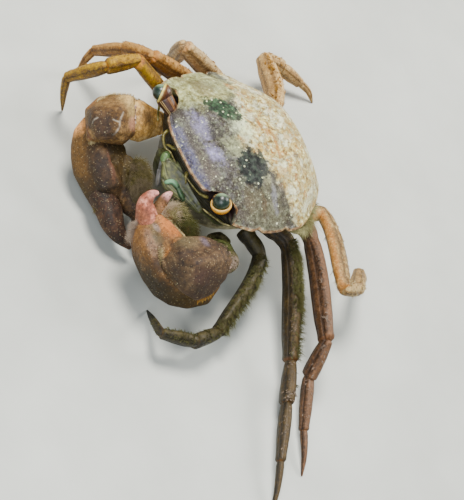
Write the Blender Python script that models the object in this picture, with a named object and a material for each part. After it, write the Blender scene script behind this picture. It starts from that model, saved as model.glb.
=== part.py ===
"""Brush-clawed shore crab, standing, claws folded in front of the mouth.

Sizes are in millimetres and turned into metres as each node is finished.
The crab faces -Y, its left is +X, the feet stand on Z = 0.
"""
import bpy
import bmesh
import math
import random
from mathutils import Matrix, Vector
from mathutils.bvhtree import BVHTree

random.seed(24)

# the whole animal
metre = 0.001            # one millimetre
rideHeight = 14.0        # front margin above the ground
jointGap = 0.3           # clearance between one node and the next

# carapace
shellHalfWidth = 12.4
shellFront = -10.6
shellRear = 10.5
shellTop = 3.0
rimDrop = 0.4            # thickness of the edge
skirtLevel = -4.7        # lower edge of the side walls
skirtScale = 0.76
skirtFront = 0.86
frontPower, sidePower, rearPower = 2.1, 2.5, 4.4
orbitNotch = [(5.9, -10.25, 0.0), (6.5, -9.1, 0.3), (7.7, -8.1, 0.4), (9.2, -7.5, 0.2), (10.1, -7.8, -0.2),
              (10.65, -8.75, -0.4)]
orbitFilled = [(5.9, -10.25, 0.0), (6.9, -10.15, -0.1), (8.2, -9.8, -0.2), (9.5, -9.3, -0.3), (10.65, -8.75, -0.4)]

# breast plate below the carapace
breastTop = -5.0
breastWaist = -6.8
breastFloor = -9.3
breastHalfWidth = 8.4
breastFront, breastRear = -8.9, 9.6
breastPower = 3.0

# walking legs: lengths come out of the joints, half sizes are thickness and height
legSizes = {
    "coxa": (1.15, 1.25),
    "ischium": (1.0, 1.15),
    "merus": (0.95, 1.5),
    "knee": (0.85, 1.1),
    "carpus": (0.9, 1.2),
    "propodus": (0.75, 1.0),
    "ankle": (0.6, 0.75),
    "dactylus": (0.5, 0.6),
    "claw": (0.22, 0.24),
}

# joints of each leg: hip bend, knee, wrist, ankle, tip (millimetres from the body centre)
legJoints = {
    "left_leg_2": ((12.9, -0.6, -7.8), (20.2, -9.8, -10.9), (21.0, -14.6, -9.8), (19.0, -19.0, -9.6),
                   (13.9, -16.0, -14.0)),
    "left_leg_3": ((12.2, 4.3, -6.9), (26.6, -1.5, -10.3), (31.6, -4.8, -10.9), (38.3, -9.2, -11.8),
                   (43.8, -12.6, -14.0)),
    "left_leg_4": ((11.2, 8.4, -6.5), (26.4, 2.2, -6.5), (29.0, 0.5, -10.8), (35.2, -2.9, -12.5),
                   (40.3, -5.3, -14.0)),
    "left_leg_5": ((9.2, 12.2, -6.2), (20.7, 8.0, -5.0), (20.2, 12.2, -7.2), (16.7, 16.8, -9.8),
                   (17.4, 20.2, -14.0)),
    "right_leg_2": ((-10.8, -1.4, -7.6), (-13.8, -11.6, 0.9), (-13.9, -15.9, 0.0), (-17.0, -17.0, -6.6),
                    (-16.5, -14.2, -14.0)),
    "right_leg_3": ((-12.2, 2.5, -6.4), (-15.0, -7.9, -0.4), (-18.5, -8.6, -3.6), (-21.8, -9.3, -8.4),
                    (-21.6, -9.4, -14.0)),
    "right_leg_4": ((-11.6, 6.9, -6.4), (-16.5, -1.2, -1.1), (-17.6, 0.4, -5.0), (-18.8, 2.1, -9.8),
                    (-19.4, 3.1, -14.0)),
    "right_leg_5": ((-8.2, 13.3, -6.0), (-17.9, 18.7, -8.4), (-16.9, 22.4, -9.9), (-14.8, 26.2, -11.6),
                    (-12.6, 29.0, -14.0)),
}
legRootSide = {"2": -1.5, "3": 2.6, "4": 6.4, "5": 8.7}
cornerReach = 1.0        # how far a sharp bend's outer corner may run past the joint

# fringes of locks: first and last place along the node, how many, which way they stand, length
fringes = {
    "left_leg_2_merus": (0.34, 0.96, 8, (0.62, 0.3, 0.55), 1.5),
    "left_leg_2_carpus": (0.3, 0.8, 2, (0.9, -0.1, 0.4), 1.1),
    "left_leg_2_propodus": (0.2, 0.8, 3, (0.3, -0.6, 0.75), 1.0),
    "left_leg_3_merus": (0.2, 0.96, 10, (0.15, 0.6, 0.75), 1.4),
    "left_leg_3_carpus": (0.35, 0.75, 2, (0.1, 0.5, 0.85), 1.0),
    "left_leg_3_propodus": (0.15, 0.75, 3, (0.1, 0.6, 0.8), 0.9),
    "left_leg_4_merus": (0.3, 0.95, 7, (0.0, -0.55, 0.8), 1.1),
    "left_leg_5_merus": (0.3, 0.97, 7, (-0.1, -0.85, 0.45), 1.3),
    "right_leg_2_merus": (0.45, 0.85, 3, (-0.4, 0.2, 0.9), 0.9),
    "right_leg_2_propodus": (0.3, 0.7, 2, (-0.7, 0.3, 0.6), 0.8),
    "right_leg_3_merus": (0.45, 0.85, 3, (-0.5, 0.4, 0.8), 0.9),
    "right_leg_5_merus": (0.4, 0.9, 4, (-0.5, -0.6, 0.6), 1.1),
}
lockHalfWidth, lockHalfThick = 0.42, 0.26
lockSides = 5
marginLocks = ((12.1, 2.6, -2.1), (11.75, 3.9, -2.3), (11.2, 5.1, -2.5), (10.5, 6.2, -2.6), (9.7, 7.3, -2.7),
               (8.9, 8.3, -2.8))
spineLength, spineRadius = 1.1, 0.42
brushes = {"inner": (9, 1.0, 0.95), "outer": (5, 0.75, 0.7)}   # how many locks, share of the length, spread

# claw-bearing legs
claws = {
    "left": {
        "elbow": (10.2, -6.6, -7.2), "wrist": (13.9, -9.6, -5.2), "armThin": (0.3, -0.65, 0.7),
        "carpus": (14.0, -14.2, -3.4), "carpusLong": (-0.12, -1.0, 0.0), "carpusUp": (0.2, 0.0, 1.0),
        "carpusHalf": (4.9, 4.0, 3.6), "carpusTooth": (12.9, -20.2, -3.6),
        "palm": (11.4, -15.4, -7.3), "axis": (-1.0, -0.10, 0.14), "up": (0.0, -0.70, 0.71),
        "palmHalf": (5.6, 3.6, 4.4), "cut": 2.7, "cutNormal": (-0.42, -0.26, -0.86),
        "bend": (3.7, -17.4, -3.6), "tip": (2.3, -12.9, -5.2),
        "lowBend": (3.3, -14.9, -7.6), "lowTip": (2.3, -12.2, -6.3),
        "brushLength": 1.8,
        "spikes": [((1.5, y, -1.2), (0.8, 0.1 * y, -0.55)) for y in (-1.8, -1.1, -0.4, 0.3, 1.0, 1.7)],
    },
    "right": {
        "elbow": (-8.8, -8.0, -6.5), "wrist": (-8.7, -11.9, -4.9), "armThin": (0.35, -0.65, 0.67),
        "carpus": (-8.5, -15.7, -4.2), "carpusLong": (0.85, -0.11, -0.51), "carpusUp": (0.36, -0.65, 0.67),
        "carpusHalf": (3.5, 3.3, 3.0), "carpusTooth": (-8.2, -11.8, -2.0),
        "palm": (-5.1, -16.1, -8.2), "axis": (0.93, 0.05, -0.36), "up": (0.11, -0.93, 0.36),
        "palmHalf": (5.5, 3.2, 4.4), "cut": 2.1, "cutNormal": (0.565, 0.205, -0.80),
        "bend": (3.6, -18.0, -10.4), "tip": (6.3, -15.5, -12.0),
        "lowBend": (3.4, -14.6, -11.0), "lowTip": (6.2, -14.6, -12.2),
        "brushLength": 1.05,
        "spikes": [((0.0, 0.0, 0.0), (-2.6, -2.3, -0.9))],
    },
}

# eyes and feelers
eyeRadius = 1.1
eyeCentres = {"left": (7.65, -9.35, 0.45), "right": (-9.2, -9.7, 0.0)}
stalkRoots = {"left": (6.9, -8.3, -1.1), "right": (-6.75, -8.5, -0.9)}
orbitCentre = (7.95, -9.4, -0.7)
orbitHalf = (2.5, 2.3, 1.65)
stalkRadius = 0.72

part = bpy.data.collections.new("shore crab")
cutters = bpy.data.collections.new("cutters")
for thing in list(bpy.data.objects):
    bpy.data.objects.remove(thing)
bpy.context.scene.collection.children.link(part)
bpy.context.scene.collection.children.link(cutters)


def paint(name, colour, roughness):
    material = bpy.data.materials.new(name)
    material.use_nodes = True
    shader = material.node_tree.nodes["Principled BSDF"]
    shader.inputs["Base Color"].default_value = (*colour, 1.0)
    shader.inputs["Roughness"].default_value = roughness
    return material


def addObject(name, bm, collection):
    bmesh.ops.recalc_face_normals(bm, faces=bm.faces)
    mesh = bpy.data.meshes.new(name)
    bm.to_mesh(mesh)
    bm.free()
    thing = bpy.data.objects.new(name, mesh)
    collection.objects.link(thing)
    return thing


def addNode(name, bm, colour, roughness=0.5):
    thing = addObject(name, bm, part)
    thing.data.materials.append(paint(name + "_paint", colour, roughness))
    return thing


def addCutter(name, bm):
    thing = addObject(name, bm, cutters)
    thing.display_type = "WIRE"
    thing.hide_render = True
    return thing


def keepLargest(mesh):
    """Leaves the largest closed surface of a mesh."""
    bm = bmesh.new()
    bm.from_mesh(mesh)
    left = set(bm.verts)
    groups = []
    while left:
        seed = left.pop()
        group = {seed}
        pending = [seed]
        while pending:
            vert = pending.pop()
            for edge in vert.link_edges:
                other = edge.other_vert(vert)
                if other not in group:
                    group.add(other)
                    pending.append(other)
        left -= group
        groups.append(group)
    groups.sort(key=len)
    for group in groups[:-1]:
        bmesh.ops.delete(bm, geom=list(group), context="VERTS")
    bm.to_mesh(mesh)
    bm.free()


def combine(thing, others, operation, solver="EXACT"):
    """Joins or cuts a node with closed meshes, which are then removed."""
    tools = bpy.data.collections.new("tools")
    bpy.context.scene.collection.children.link(tools)
    for other in others:
        for home in list(other.users_collection):
            home.objects.unlink(other)
        tools.objects.link(other)
    modifier = thing.modifiers.new("combine", "BOOLEAN")
    modifier.operation = operation
    modifier.operand_type = "COLLECTION"
    modifier.collection = tools
    modifier.solver = solver
    graph = bpy.context.evaluated_depsgraph_get()
    mesh = bpy.data.meshes.new_from_object(thing.evaluated_get(graph))
    old = thing.data
    thing.modifiers.clear()
    thing.data = mesh
    bpy.data.meshes.remove(old)
    keepLargest(mesh)
    for other in others:
        bpy.data.objects.remove(other)
    bpy.data.collections.remove(tools)


def curvePoint(points, t):
    """Point at t (0 to 1) of a smooth curve through the points."""
    if len(points) == 2:
        return points[0].lerp(points[1], t)
    spans = len(points) - 1
    lengths = [(points[i + 1] - points[i]).length for i in range(spans)]
    run = t * sum(lengths)
    i = 0
    while i < spans - 1 and run > lengths[i]:
        run -= lengths[i]
        i += 1
    s = min(run / lengths[i], 1.0)
    a = points[i]
    b = points[i + 1]
    before = points[i - 1] if i > 0 else a * 2 - b
    after = points[i + 2] if i + 2 <= spans else b * 2 - a
    entry = (b - before) * 0.5 * lengths[i] / max(((b - before).length * 0.5), 1e-6)
    leave = (after - a) * 0.5 * lengths[i] / max(((after - a).length * 0.5), 1e-6)
    return (a * (2 * s ** 3 - 3 * s ** 2 + 1) + entry * (s ** 3 - 2 * s ** 2 + s)
            + b * (3 * s ** 2 - 2 * s ** 3) + leave * (s ** 3 - s ** 2))


def ovalRing(centre, side, up, half, height, count, power):
    ring = []
    for i in range(count):
        angle = 2 * math.pi * i / count
        c = math.cos(angle)
        s = math.sin(angle)
        x = math.copysign(abs(c) ** (2 / power), c)
        y = math.copysign(abs(s) ** (2 / power), s)
        ring.append(centre + side * (x * half) + up * (y * height))
    return ring


def loft(rings):
    """Closed surface through rings of equal count, with a flat face at each end."""
    bm = bmesh.new()
    loops = [[bm.verts.new(point) for point in ring] for ring in rings]
    count = len(loops[0])
    for low, high in zip(loops, loops[1:]):
        for i in range(count):
            j = (i + 1) % count
            bm.faces.new((low[i], low[j], high[j], high[i]))
    bm.faces.new(loops[0][::-1])
    bm.faces.new(loops[-1])
    return bm


def keepInside(vert, inward, plane, away):
    """Moves a point along the path until it clears an end plane."""
    if plane and away < 0.4:
        point, normal = plane
        slope = inward.dot(normal)
        depth = (vert - point).dot(normal) * math.copysign(1.0, slope)
        if depth < 0.5 * away:
            return vert + inward * ((0.5 * away - depth) / abs(slope))
    return vert


def sweep(path, stations, thin, startPlane=None, endPlane=None, count=12, power=2.2, reach=0.22):
    """Solid along a path. stations: (t, half thickness, half height). A plane is (point, normal)."""
    rings = []
    side = Vector(thin).normalized()
    for t, half, height in stations:
        low = max(0.0, t - 0.02)
        high = min(1.0, t + 0.02)
        tangent = (curvePoint(path, high) - curvePoint(path, low)).normalized()
        side = (side - tangent * side.dot(tangent)).normalized()
        up = tangent.cross(side).normalized()
        ring = ovalRing(curvePoint(path, t), side, up, half, height, count, power)
        for plane, share in ((startPlane, max(0.0, 1 - t / reach)), (endPlane, max(0.0, 1 - (1 - t) / reach))):
            if plane and share > 0:
                point, normal = plane
                shifts = [(point - v).dot(normal) / tangent.dot(normal) for v in ring]
                if plane is startPlane:
                    shifts = [max(shift, -cornerReach) for shift in shifts]
                else:
                    shifts = [min(shift, cornerReach) for shift in shifts]
                ring = [v + tangent * (share * shift) for v, shift in zip(ring, shifts)]
        rings.append([keepInside(keepInside(v, tangent, startPlane, t), -tangent, endPlane, 1 - t) for v in ring])
    return loft(rings)


def trim(bm, point, normal):
    """Removes what lies on the normal's side of a plane and closes the cut."""
    geometry = bm.verts[:] + bm.edges[:] + bm.faces[:]
    cut = bmesh.ops.bisect_plane(bm, geom=geometry, plane_co=point, plane_no=normal, clear_outer=True)
    edges = [item for item in cut["geom_cut"] if isinstance(item, bmesh.types.BMEdge)]
    bmesh.ops.contextual_create(bm, geom=edges)


def ball(centre, axes, halves, rings, segments):
    """Ellipsoid on three axes."""
    bm = bmesh.new()
    bmesh.ops.create_uvsphere(bm, u_segments=segments, v_segments=rings, radius=1.0)
    turn = Matrix([(axes[0] * halves[0]), (axes[1] * halves[1]), (axes[2] * halves[2])]).transposed().to_4x4()
    bmesh.ops.transform(bm, matrix=Matrix.Translation(centre) @ turn, verts=bm.verts)
    return bm


def axesFrom(first, upHint):
    first = Vector(first).normalized()
    third = Vector(upHint)
    third = (third - first * third.dot(first)).normalized()
    return first, third.cross(first), third


def surfaceAt(tree, origin, direction):
    """Where a line meets a node: the point and the normal facing back along the line."""
    direction = Vector(direction).normalized()
    point, normal, _, _ = tree.ray_cast(Vector(origin), direction)
    if normal.dot(direction) > 0:
        normal = -normal
    return point, normal


def treeOf(thing):
    bm = bmesh.new()
    bm.from_mesh(thing.data)
    tree = BVHTree.FromBMesh(bm)
    bm.free()
    return tree


def lock(root, lean, lie, length, width):
    """A flat tapered lock that stands along lean and bends over along lie."""
    lean = Vector(lean).normalized()
    lie = Vector(lie)
    lie = (lie - lean * lie.dot(lean)).normalized()
    path = [root - lean * 0.45, root + lean * (length * 0.5) + lie * (length * 0.1),
            root + lean * (length * 0.85) + lie * (length * 0.5)]
    steps = [(0.0, width, lockHalfThick), (0.55, width * 0.8, lockHalfThick * 0.9), (1.0, width * 0.22, 0.07)]
    return sweep(path, steps, lie, count=lockSides, power=2.0)


def spine(root, lean, length, radius):
    lean = Vector(lean).normalized()
    side = lean.orthogonal()
    path = [root - lean * 0.4, root + lean * (length * 0.5), root + lean * length]
    steps = [(0.0, radius, radius), (0.5, radius * 0.7, radius * 0.7), (1.0, 0.09, 0.09)]
    return sweep(path, steps, side, count=4, power=2.0)


def fringe(name, path, tree, plan):
    """Locks in a row along a limb, for a union with its node."""
    first, last, count, lean, length = plan
    locks = []
    for i in range(count):
        t = first + (last - first) * i / max(1, count - 1)
        centre = curvePoint(path, t)
        along = (curvePoint(path, min(1.0, t + 0.03)) - curvePoint(path, t - 0.03)).normalized()
        stand = Vector(lean).normalized() + Vector((random.uniform(-0.2, 0.2), random.uniform(-0.2, 0.2), 0))
        stand = (stand - along * stand.dot(along)).normalized()
        foot, normal = surfaceAt(tree, centre, stand)
        size = length * random.uniform(0.8, 1.15)
        locks.append(addCutter("lock", lock(foot, stand, along, size, lockHalfWidth * random.uniform(0.85, 1.2))))
    return locks


def smoothRun(points, count):
    path = [Vector(p) for p in points]
    return [curvePoint(path, i / count) for i in range(count)]


def halfOutline(orbit):
    """Left half of the edge seen from above, front middle to rear middle."""
    w = shellHalfWidth
    front = [(0.0, shellFront + 0.2, 0.15), (2.8, shellFront - 0.1, 0.1), (5.1, shellFront, 0.0),
             (5.9, shellFront + 0.35, 0.0)]
    first = [(10.65, -8.75, -0.4), (11.35, -7.2, -0.65), (w - 0.6, -5.6, -0.9), (w - 0.85, -4.2, -1.1)]
    second = [(w - 0.25, -4.0, -1.2), (w - 0.05, -2.2, -1.35), (w - 0.1, -0.6, -1.45), (w - 0.5, 0.4, -1.6)]
    rear = [(w + 0.05, 0.7, -1.6), (w - 0.15, 2.4, -1.8), (w - 0.9, 4.5, -2.1), (9.9, 6.8, -2.4),
            (8.3, 8.8, -2.6), (6.0, shellRear - 0.1, -2.7), (3.0, shellRear, -2.75), (0.0, shellRear - 0.1, -2.75)]
    runs = smoothRun(front, 7) + smoothRun(orbit, 9) + smoothRun(first, 7) + smoothRun(second, 6)
    return runs + smoothRun(rear, 19)


def shellOutline(orbit):
    half = halfOutline(orbit)
    other = [Vector((-p.x, p.y, p.z)) for p in half[1:]]
    return half + [Vector((0.0, shellRear - 0.1, -2.75))] + other[::-1]


def relaxed(loop, passes):
    for _ in range(passes):
        loop = [(loop[i - 1] + loop[i] * 2 + loop[(i + 1) % len(loop)]) / 4 for i in range(len(loop))]
    return loop


def shellRelief(x, y):
    """Low swellings and grooves of the back."""
    ax = abs(x)
    groove = -0.28 * math.exp(-((y - 1.6) / 0.7) ** 2) * math.exp(-((ax - 2.6) / 2.0) ** 2)
    groove -= 0.22 * math.exp(-((ax - 3.4 - 0.25 * (y + 1)) / 0.6) ** 2) * math.exp(-((y + 0.2) / 2.6) ** 2)
    swelling = 0.22 * math.exp(-((ax - 3.0) / 1.5) ** 2 - ((y + 6.4) / 1.3) ** 2)
    swelling += 0.16 * math.exp(-((ax - 4.8) / 1.6) ** 2 - ((y + 2.6) / 1.8) ** 2)
    swelling += 0.2 * math.exp(-(x / 1.8) ** 2 - ((y - 4.4) / 1.8) ** 2)
    return groove + swelling - 0.16 * math.exp(-(x / 0.7) ** 2 - ((y + 7.0) / 1.8) ** 2)


def shellPower(x, y):
    ahead = max(0.0, -y) / math.hypot(x, y)
    behind = max(0.0, y) / math.hypot(x, y)
    return sidePower + (frontPower - sidePower) * ahead ** 2 + (rearPower - sidePower) * behind ** 1.5


def buildShell():
    edge = shellOutline(orbitNotch)
    calm = relaxed(shellOutline(orbitFilled), 40)
    rings = []
    for r in (0.09, 0.2, 0.32, 0.44, 0.55, 0.65, 0.74, 0.82, 0.89, 0.95, 0.985, 1.0):
        share = min(1.0, max(0.0, (r - 0.62) / 0.36)) ** 2
        ring = []
        for sharp, soft in zip(edge, calm):
            p = soft.lerp(sharp, share)
            rise = (shellTop - p.z) * (1 - r ** shellPower(p.x, p.y))
            x = p.x * r
            y = p.y * r
            ring.append(Vector((x, y, p.z + rise + shellRelief(x, y) * (1 - r ** 6))))
        rings.append(ring)
    for side, face, fall, share in ((0.99, 0.99, 0.0, 0.95), (0.94, 0.975, 0.15, 0.5), (0.86, 0.94, 0.55, 0.1),
                                    (skirtScale, skirtFront, 1.0, 0.0)):
        ring = []
        for sharp, soft in zip(edge, calm):
            p = soft.lerp(sharp, share)
            ahead = max(0.0, -p.y) / math.hypot(p.x, p.y)
            r = side + (face - side) * ahead ** 1.5
            ring.append(Vector((p.x * r, p.y * r, (p.z - rimDrop) * (1 - fall) + skirtLevel * fall)))
        rings.append(ring)
    return loft(rings)


shell = addNode("carapace", buildShell(), (0.40, 0.36, 0.30))
orbitCutters = []
for sign in (1, -1):
    centre = Vector((orbitCentre[0] * sign, orbitCentre[1], orbitCentre[2]))
    axes = (Vector((1, 0, 0)), Vector((0, 1, 0)), Vector((0, 0, 1)))
    orbitCutters.append(addCutter("orbit", ball(centre, axes, orbitHalf, 10, 16)))
combine(shell, orbitCutters, "DIFFERENCE")
shellTree = treeOf(shell)
marginTufts = []
for sign in (1, -1):
    for x, y, z in marginLocks:
        centre = Vector((x * 0.8 * sign, y * 0.8, z))
        away = Vector((x * sign, y, 0)).normalized()
        foot, normal = surfaceAt(shellTree, centre, away)
        lean = away + Vector((0, 0.2, -0.15))
        size = 1.5 * random.uniform(0.85, 1.15)
        marginTufts.append(addCutter("lock", lock(foot, lean, (0, 0.6, -1), size, lockHalfWidth)))
combine(shell, marginTufts, "UNION")


def breastRing(level, scale):
    middle = Vector((0, (breastFront + breastRear) / 2, level))
    length = (breastRear - breastFront) / 2
    return ovalRing(middle, Vector((1, 0, 0)), Vector((0, 1, 0)), breastHalfWidth * scale, length * (0.5 + scale / 2),
                    40, breastPower)


breastSteps = ((breastTop, 0.99), (breastWaist, 1.0), (-8.0, 0.93), (-8.9, 0.8), (breastFloor, 0.62))
breast = addNode("breast_plate", loft([breastRing(level, scale) for level, scale in breastSteps]), (0.45, 0.42, 0.33))
breastTree = treeOf(breast)

flapPath = [Vector(p) for p in ((0, 10.3, -5.3), (0, 10.35, -8.4), (0, 9.0, -9.9), (0, 5.5, -9.95), (0, -2.6, -9.95))]
flapSteps = [(0.0, 0.3, 2.7), (0.1, 0.34, 3.0), (0.24, 0.34, 3.0), (0.34, 0.34, 2.9), (0.46, 0.36, 2.5),
             (0.62, 0.36, 1.9), (0.8, 0.34, 1.3), (0.94, 0.32, 0.9), (1.0, 0.28, 0.6)]
addNode("tail_flap", sweep(flapPath, flapSteps, (0, 1, 0), count=16, power=3.0), (0.46, 0.43, 0.34))


for sideName, sign in (("left", 1), ("right", -1)):
    eye = Vector(eyeCentres[sideName])
    axes = (Vector((1, 0, 0)), Vector((0, 1, 0)), Vector((0, 0, 1)))
    addNode(sideName + "_eye", ball(eye, axes, (eyeRadius,) * 3, 10, 14), (0.05, 0.10, 0.09), 0.15)
    inner = Vector(stalkRoots[sideName])
    toEye = (eye - inner).normalized()
    wall, facing = surfaceAt(shellTree, inner, -toEye)
    base = wall + toEye * ((jointGap + 0.1) / facing.dot(toEye))
    end = eye - toEye * (eyeRadius + jointGap)
    steps = [(0.0, stalkRadius * 0.8, stalkRadius * 0.8), (0.4, stalkRadius, stalkRadius),
             (1.0, stalkRadius * 1.1, stalkRadius * 1.1)]
    stalk = sweep([base, end], steps, (0, 0, 1), (base, facing), count=10, power=2.0, reach=0.6)
    addNode(sideName + "_eyestalk", stalk, (0.45, 0.33, 0.16))

    root, normal = surfaceAt(shellTree, (4.6 * sign, -16, -1.7), (0, 1, 0))
    base = root + Vector((0, -1, 0)) * (jointGap + 0.4)
    path = [base, base + Vector((0.1 * sign, -0.7, -0.1)), base + Vector((-0.2 * sign, -1.2, -0.7)),
            base + Vector((-0.9 * sign, -1.3, -1.8)), base + Vector((-1.8 * sign, -1.5, -2.7))]
    steps = [(0.0, 0.5, 0.5), (0.25, 0.5, 0.5), (0.34, 0.3, 0.3), (0.7, 0.26, 0.26), (1.0, 0.2, 0.2)]
    addNode(sideName + "_antenna", sweep(path, steps, (0, 0, 1), count=8, power=2.0), (0.55, 0.45, 0.20))

    root, normal = surfaceAt(shellTree, (1.7 * sign, -16, -1.5), (0, 1, 0))
    base = root + Vector((0, -1, 0)) * (jointGap + 0.4)
    path = [base, base + Vector((0.5 * sign, -0.7, 0.1)), base + Vector((1.3 * sign, -0.9, -0.3))]
    steps = [(0.0, 0.42, 0.42), (0.35, 0.42, 0.42), (0.6, 0.3, 0.3), (1.0, 0.24, 0.24)]
    addNode(sideName + "_antennule", sweep(path, steps, (0, 0, 1), count=8, power=2.0), (0.35, 0.36, 0.22))

    top = Vector((1.9 * sign, -10.5, -3.5))
    path = [top, Vector((2.1 * sign, -10.2, -5.8)), Vector((1.9 * sign, -9.7, -8.8))]
    steps = [(0.0, 0.3, 1.0), (0.08, 0.42, 1.45), (0.3, 0.45, 1.6), (0.46, 0.4, 1.35), (0.52, 0.38, 1.3),
             (0.6, 0.42, 1.4), (0.85, 0.42, 1.3), (1.0, 0.34, 0.9)]
    plate = addNode(sideName + "_mouth_plate", sweep(path, steps, (0, 1, 0), count=14, power=2.6), (0.25, 0.30, 0.16))
    palp = [Vector((1.5 * sign, -10.5, -3.9)), Vector((1.3 * sign, -11.2, -3.8)), Vector((1.0 * sign, -11.4, -4.9)),
            Vector((0.9 * sign, -11.1, -6.1))]
    steps = [(0.0, 0.4, 0.4), (0.3, 0.42, 0.42), (0.7, 0.36, 0.36), (1.0, 0.22, 0.22)]
    combine(plate, [addCutter("palp", sweep(palp, steps, (0, 0, 1), count=8, power=2.0))], "UNION")


def legRoot(sideSign, along):
    start, normal = surfaceAt(breastTree, (sideSign * 20, along, breastWaist), (-sideSign, 0, 0))
    normal.z = 0
    normal.normalize()
    return start + normal * jointGap, normal


def finishLimb(thing, path, extras=()):
    """Adds a limb's fringe, and anything else that grows from it, as one closed body."""
    grown = list(extras)
    if thing.name in fringes:
        grown += fringe(thing.name, path, treeOf(thing), fringes[thing.name])
    if grown:
        combine(thing, grown, "UNION")


def legSegments(name, joints, root, rootNormal):
    """The four nodes of a walking leg, ended by the plane that halves each joint."""
    knee, wrist, ankle, tip = joints[1:]
    heading = Vector((tip.x - root.x, tip.y - root.y, 0)).normalized()
    thin = heading.cross(Vector((0, 0, 1)))
    points = [joints[0], knee, wrist, ankle, tip]
    planes = []
    for i in (1, 2, 3):
        before = (points[i] - points[i - 1]).normalized()
        after = (points[i + 1] - points[i]).normalized()
        planes.append((before + after).normalized())
    size = legSizes
    half = jointGap / 2
    colour = (0.50, 0.36, 0.16) if name.startswith("right") else (0.30, 0.27, 0.15)

    thinNow = (knee - joints[0]).cross(Vector((0, 0, 1))) * (1 if name.startswith("left") else -1)
    steps = [(0.0, *size["coxa"]), (0.07, *size["coxa"]), (0.16, *size["ischium"]), (0.24, *size["ischium"]),
             (0.42, size["merus"][0], size["merus"][1] * 0.94), (0.62, *size["merus"]),
             (0.82, size["merus"][0], size["merus"][1] * 0.95), (0.94, *size["knee"]), (1.0, *size["knee"])]
    path = [root, joints[0], knee]
    merus = addNode(name + "_merus", sweep(path, steps, thinNow, (root, rootNormal),
                                           (knee - planes[0] * half, planes[0]), power=2.3), colour)
    extras = []
    if not name.endswith("5"):
        along = (knee - joints[0]).normalized()
        rise = Vector((0, 0, 1)) - along * along.z
        foot, normal = surfaceAt(treeOf(merus), curvePoint(path, 0.88), rise)
        extras.append(addCutter("spine", spine(foot, rise.normalized() + along * 0.7, spineLength, spineRadius)))
    finishLimb(merus, path, extras)

    steps = [(0.0, size["knee"][0] * 0.9, size["knee"][1] * 0.85), (0.2, *size["knee"]), (0.6, *size["carpus"]),
             (0.88, *size["carpus"]), (1.0, size["carpus"][0] * 0.9, size["carpus"][1] * 0.85)]
    path = [knee, wrist]
    carpus = addNode(name + "_carpus", sweep(path, steps, thin, (knee + planes[0] * half, planes[0]),
                                             (wrist - planes[1] * half, planes[1]), reach=0.35), colour)
    finishLimb(carpus, path)

    steps = [(0.0, size["propodus"][0] * 0.95, size["propodus"][1] * 0.85), (0.15, *size["propodus"]),
             (0.5, *size["propodus"]), (0.85, *size["ankle"]), (1.0, size["ankle"][0], size["ankle"][1] * 0.95)]
    path = [wrist, ankle]
    propodus = addNode(name + "_propodus", sweep(path, steps, thin, (wrist + planes[1] * half, planes[1]),
                                                 (ankle - planes[2] * half, planes[2])), colour)
    finishLimb(propodus, path)

    bow = ankle.lerp(tip, 0.5) + Vector((0, 0, 0.35)) + heading * 0.25
    steps = [(0.0, size["dactylus"][0] * 0.9, size["dactylus"][1] * 0.9), (0.15, *size["dactylus"]),
             (0.6, size["dactylus"][0] * 0.7, size["dactylus"][1] * 0.75), (1.0, *size["claw"])]
    addNode(name + "_dactylus", sweep([ankle, bow, tip], steps, thin, (ankle + planes[2] * half, planes[2]),
                                      (Vector((0, 0, tip.z)), Vector((0, 0, 1))), count=10), colour)


for legName, jointList in legJoints.items():
    sign = 1 if legName.startswith("left") else -1
    start, startNormal = legRoot(sign, legRootSide[legName[-1]])
    legSegments(legName, [Vector(p) for p in jointList], start, startNormal)


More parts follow.
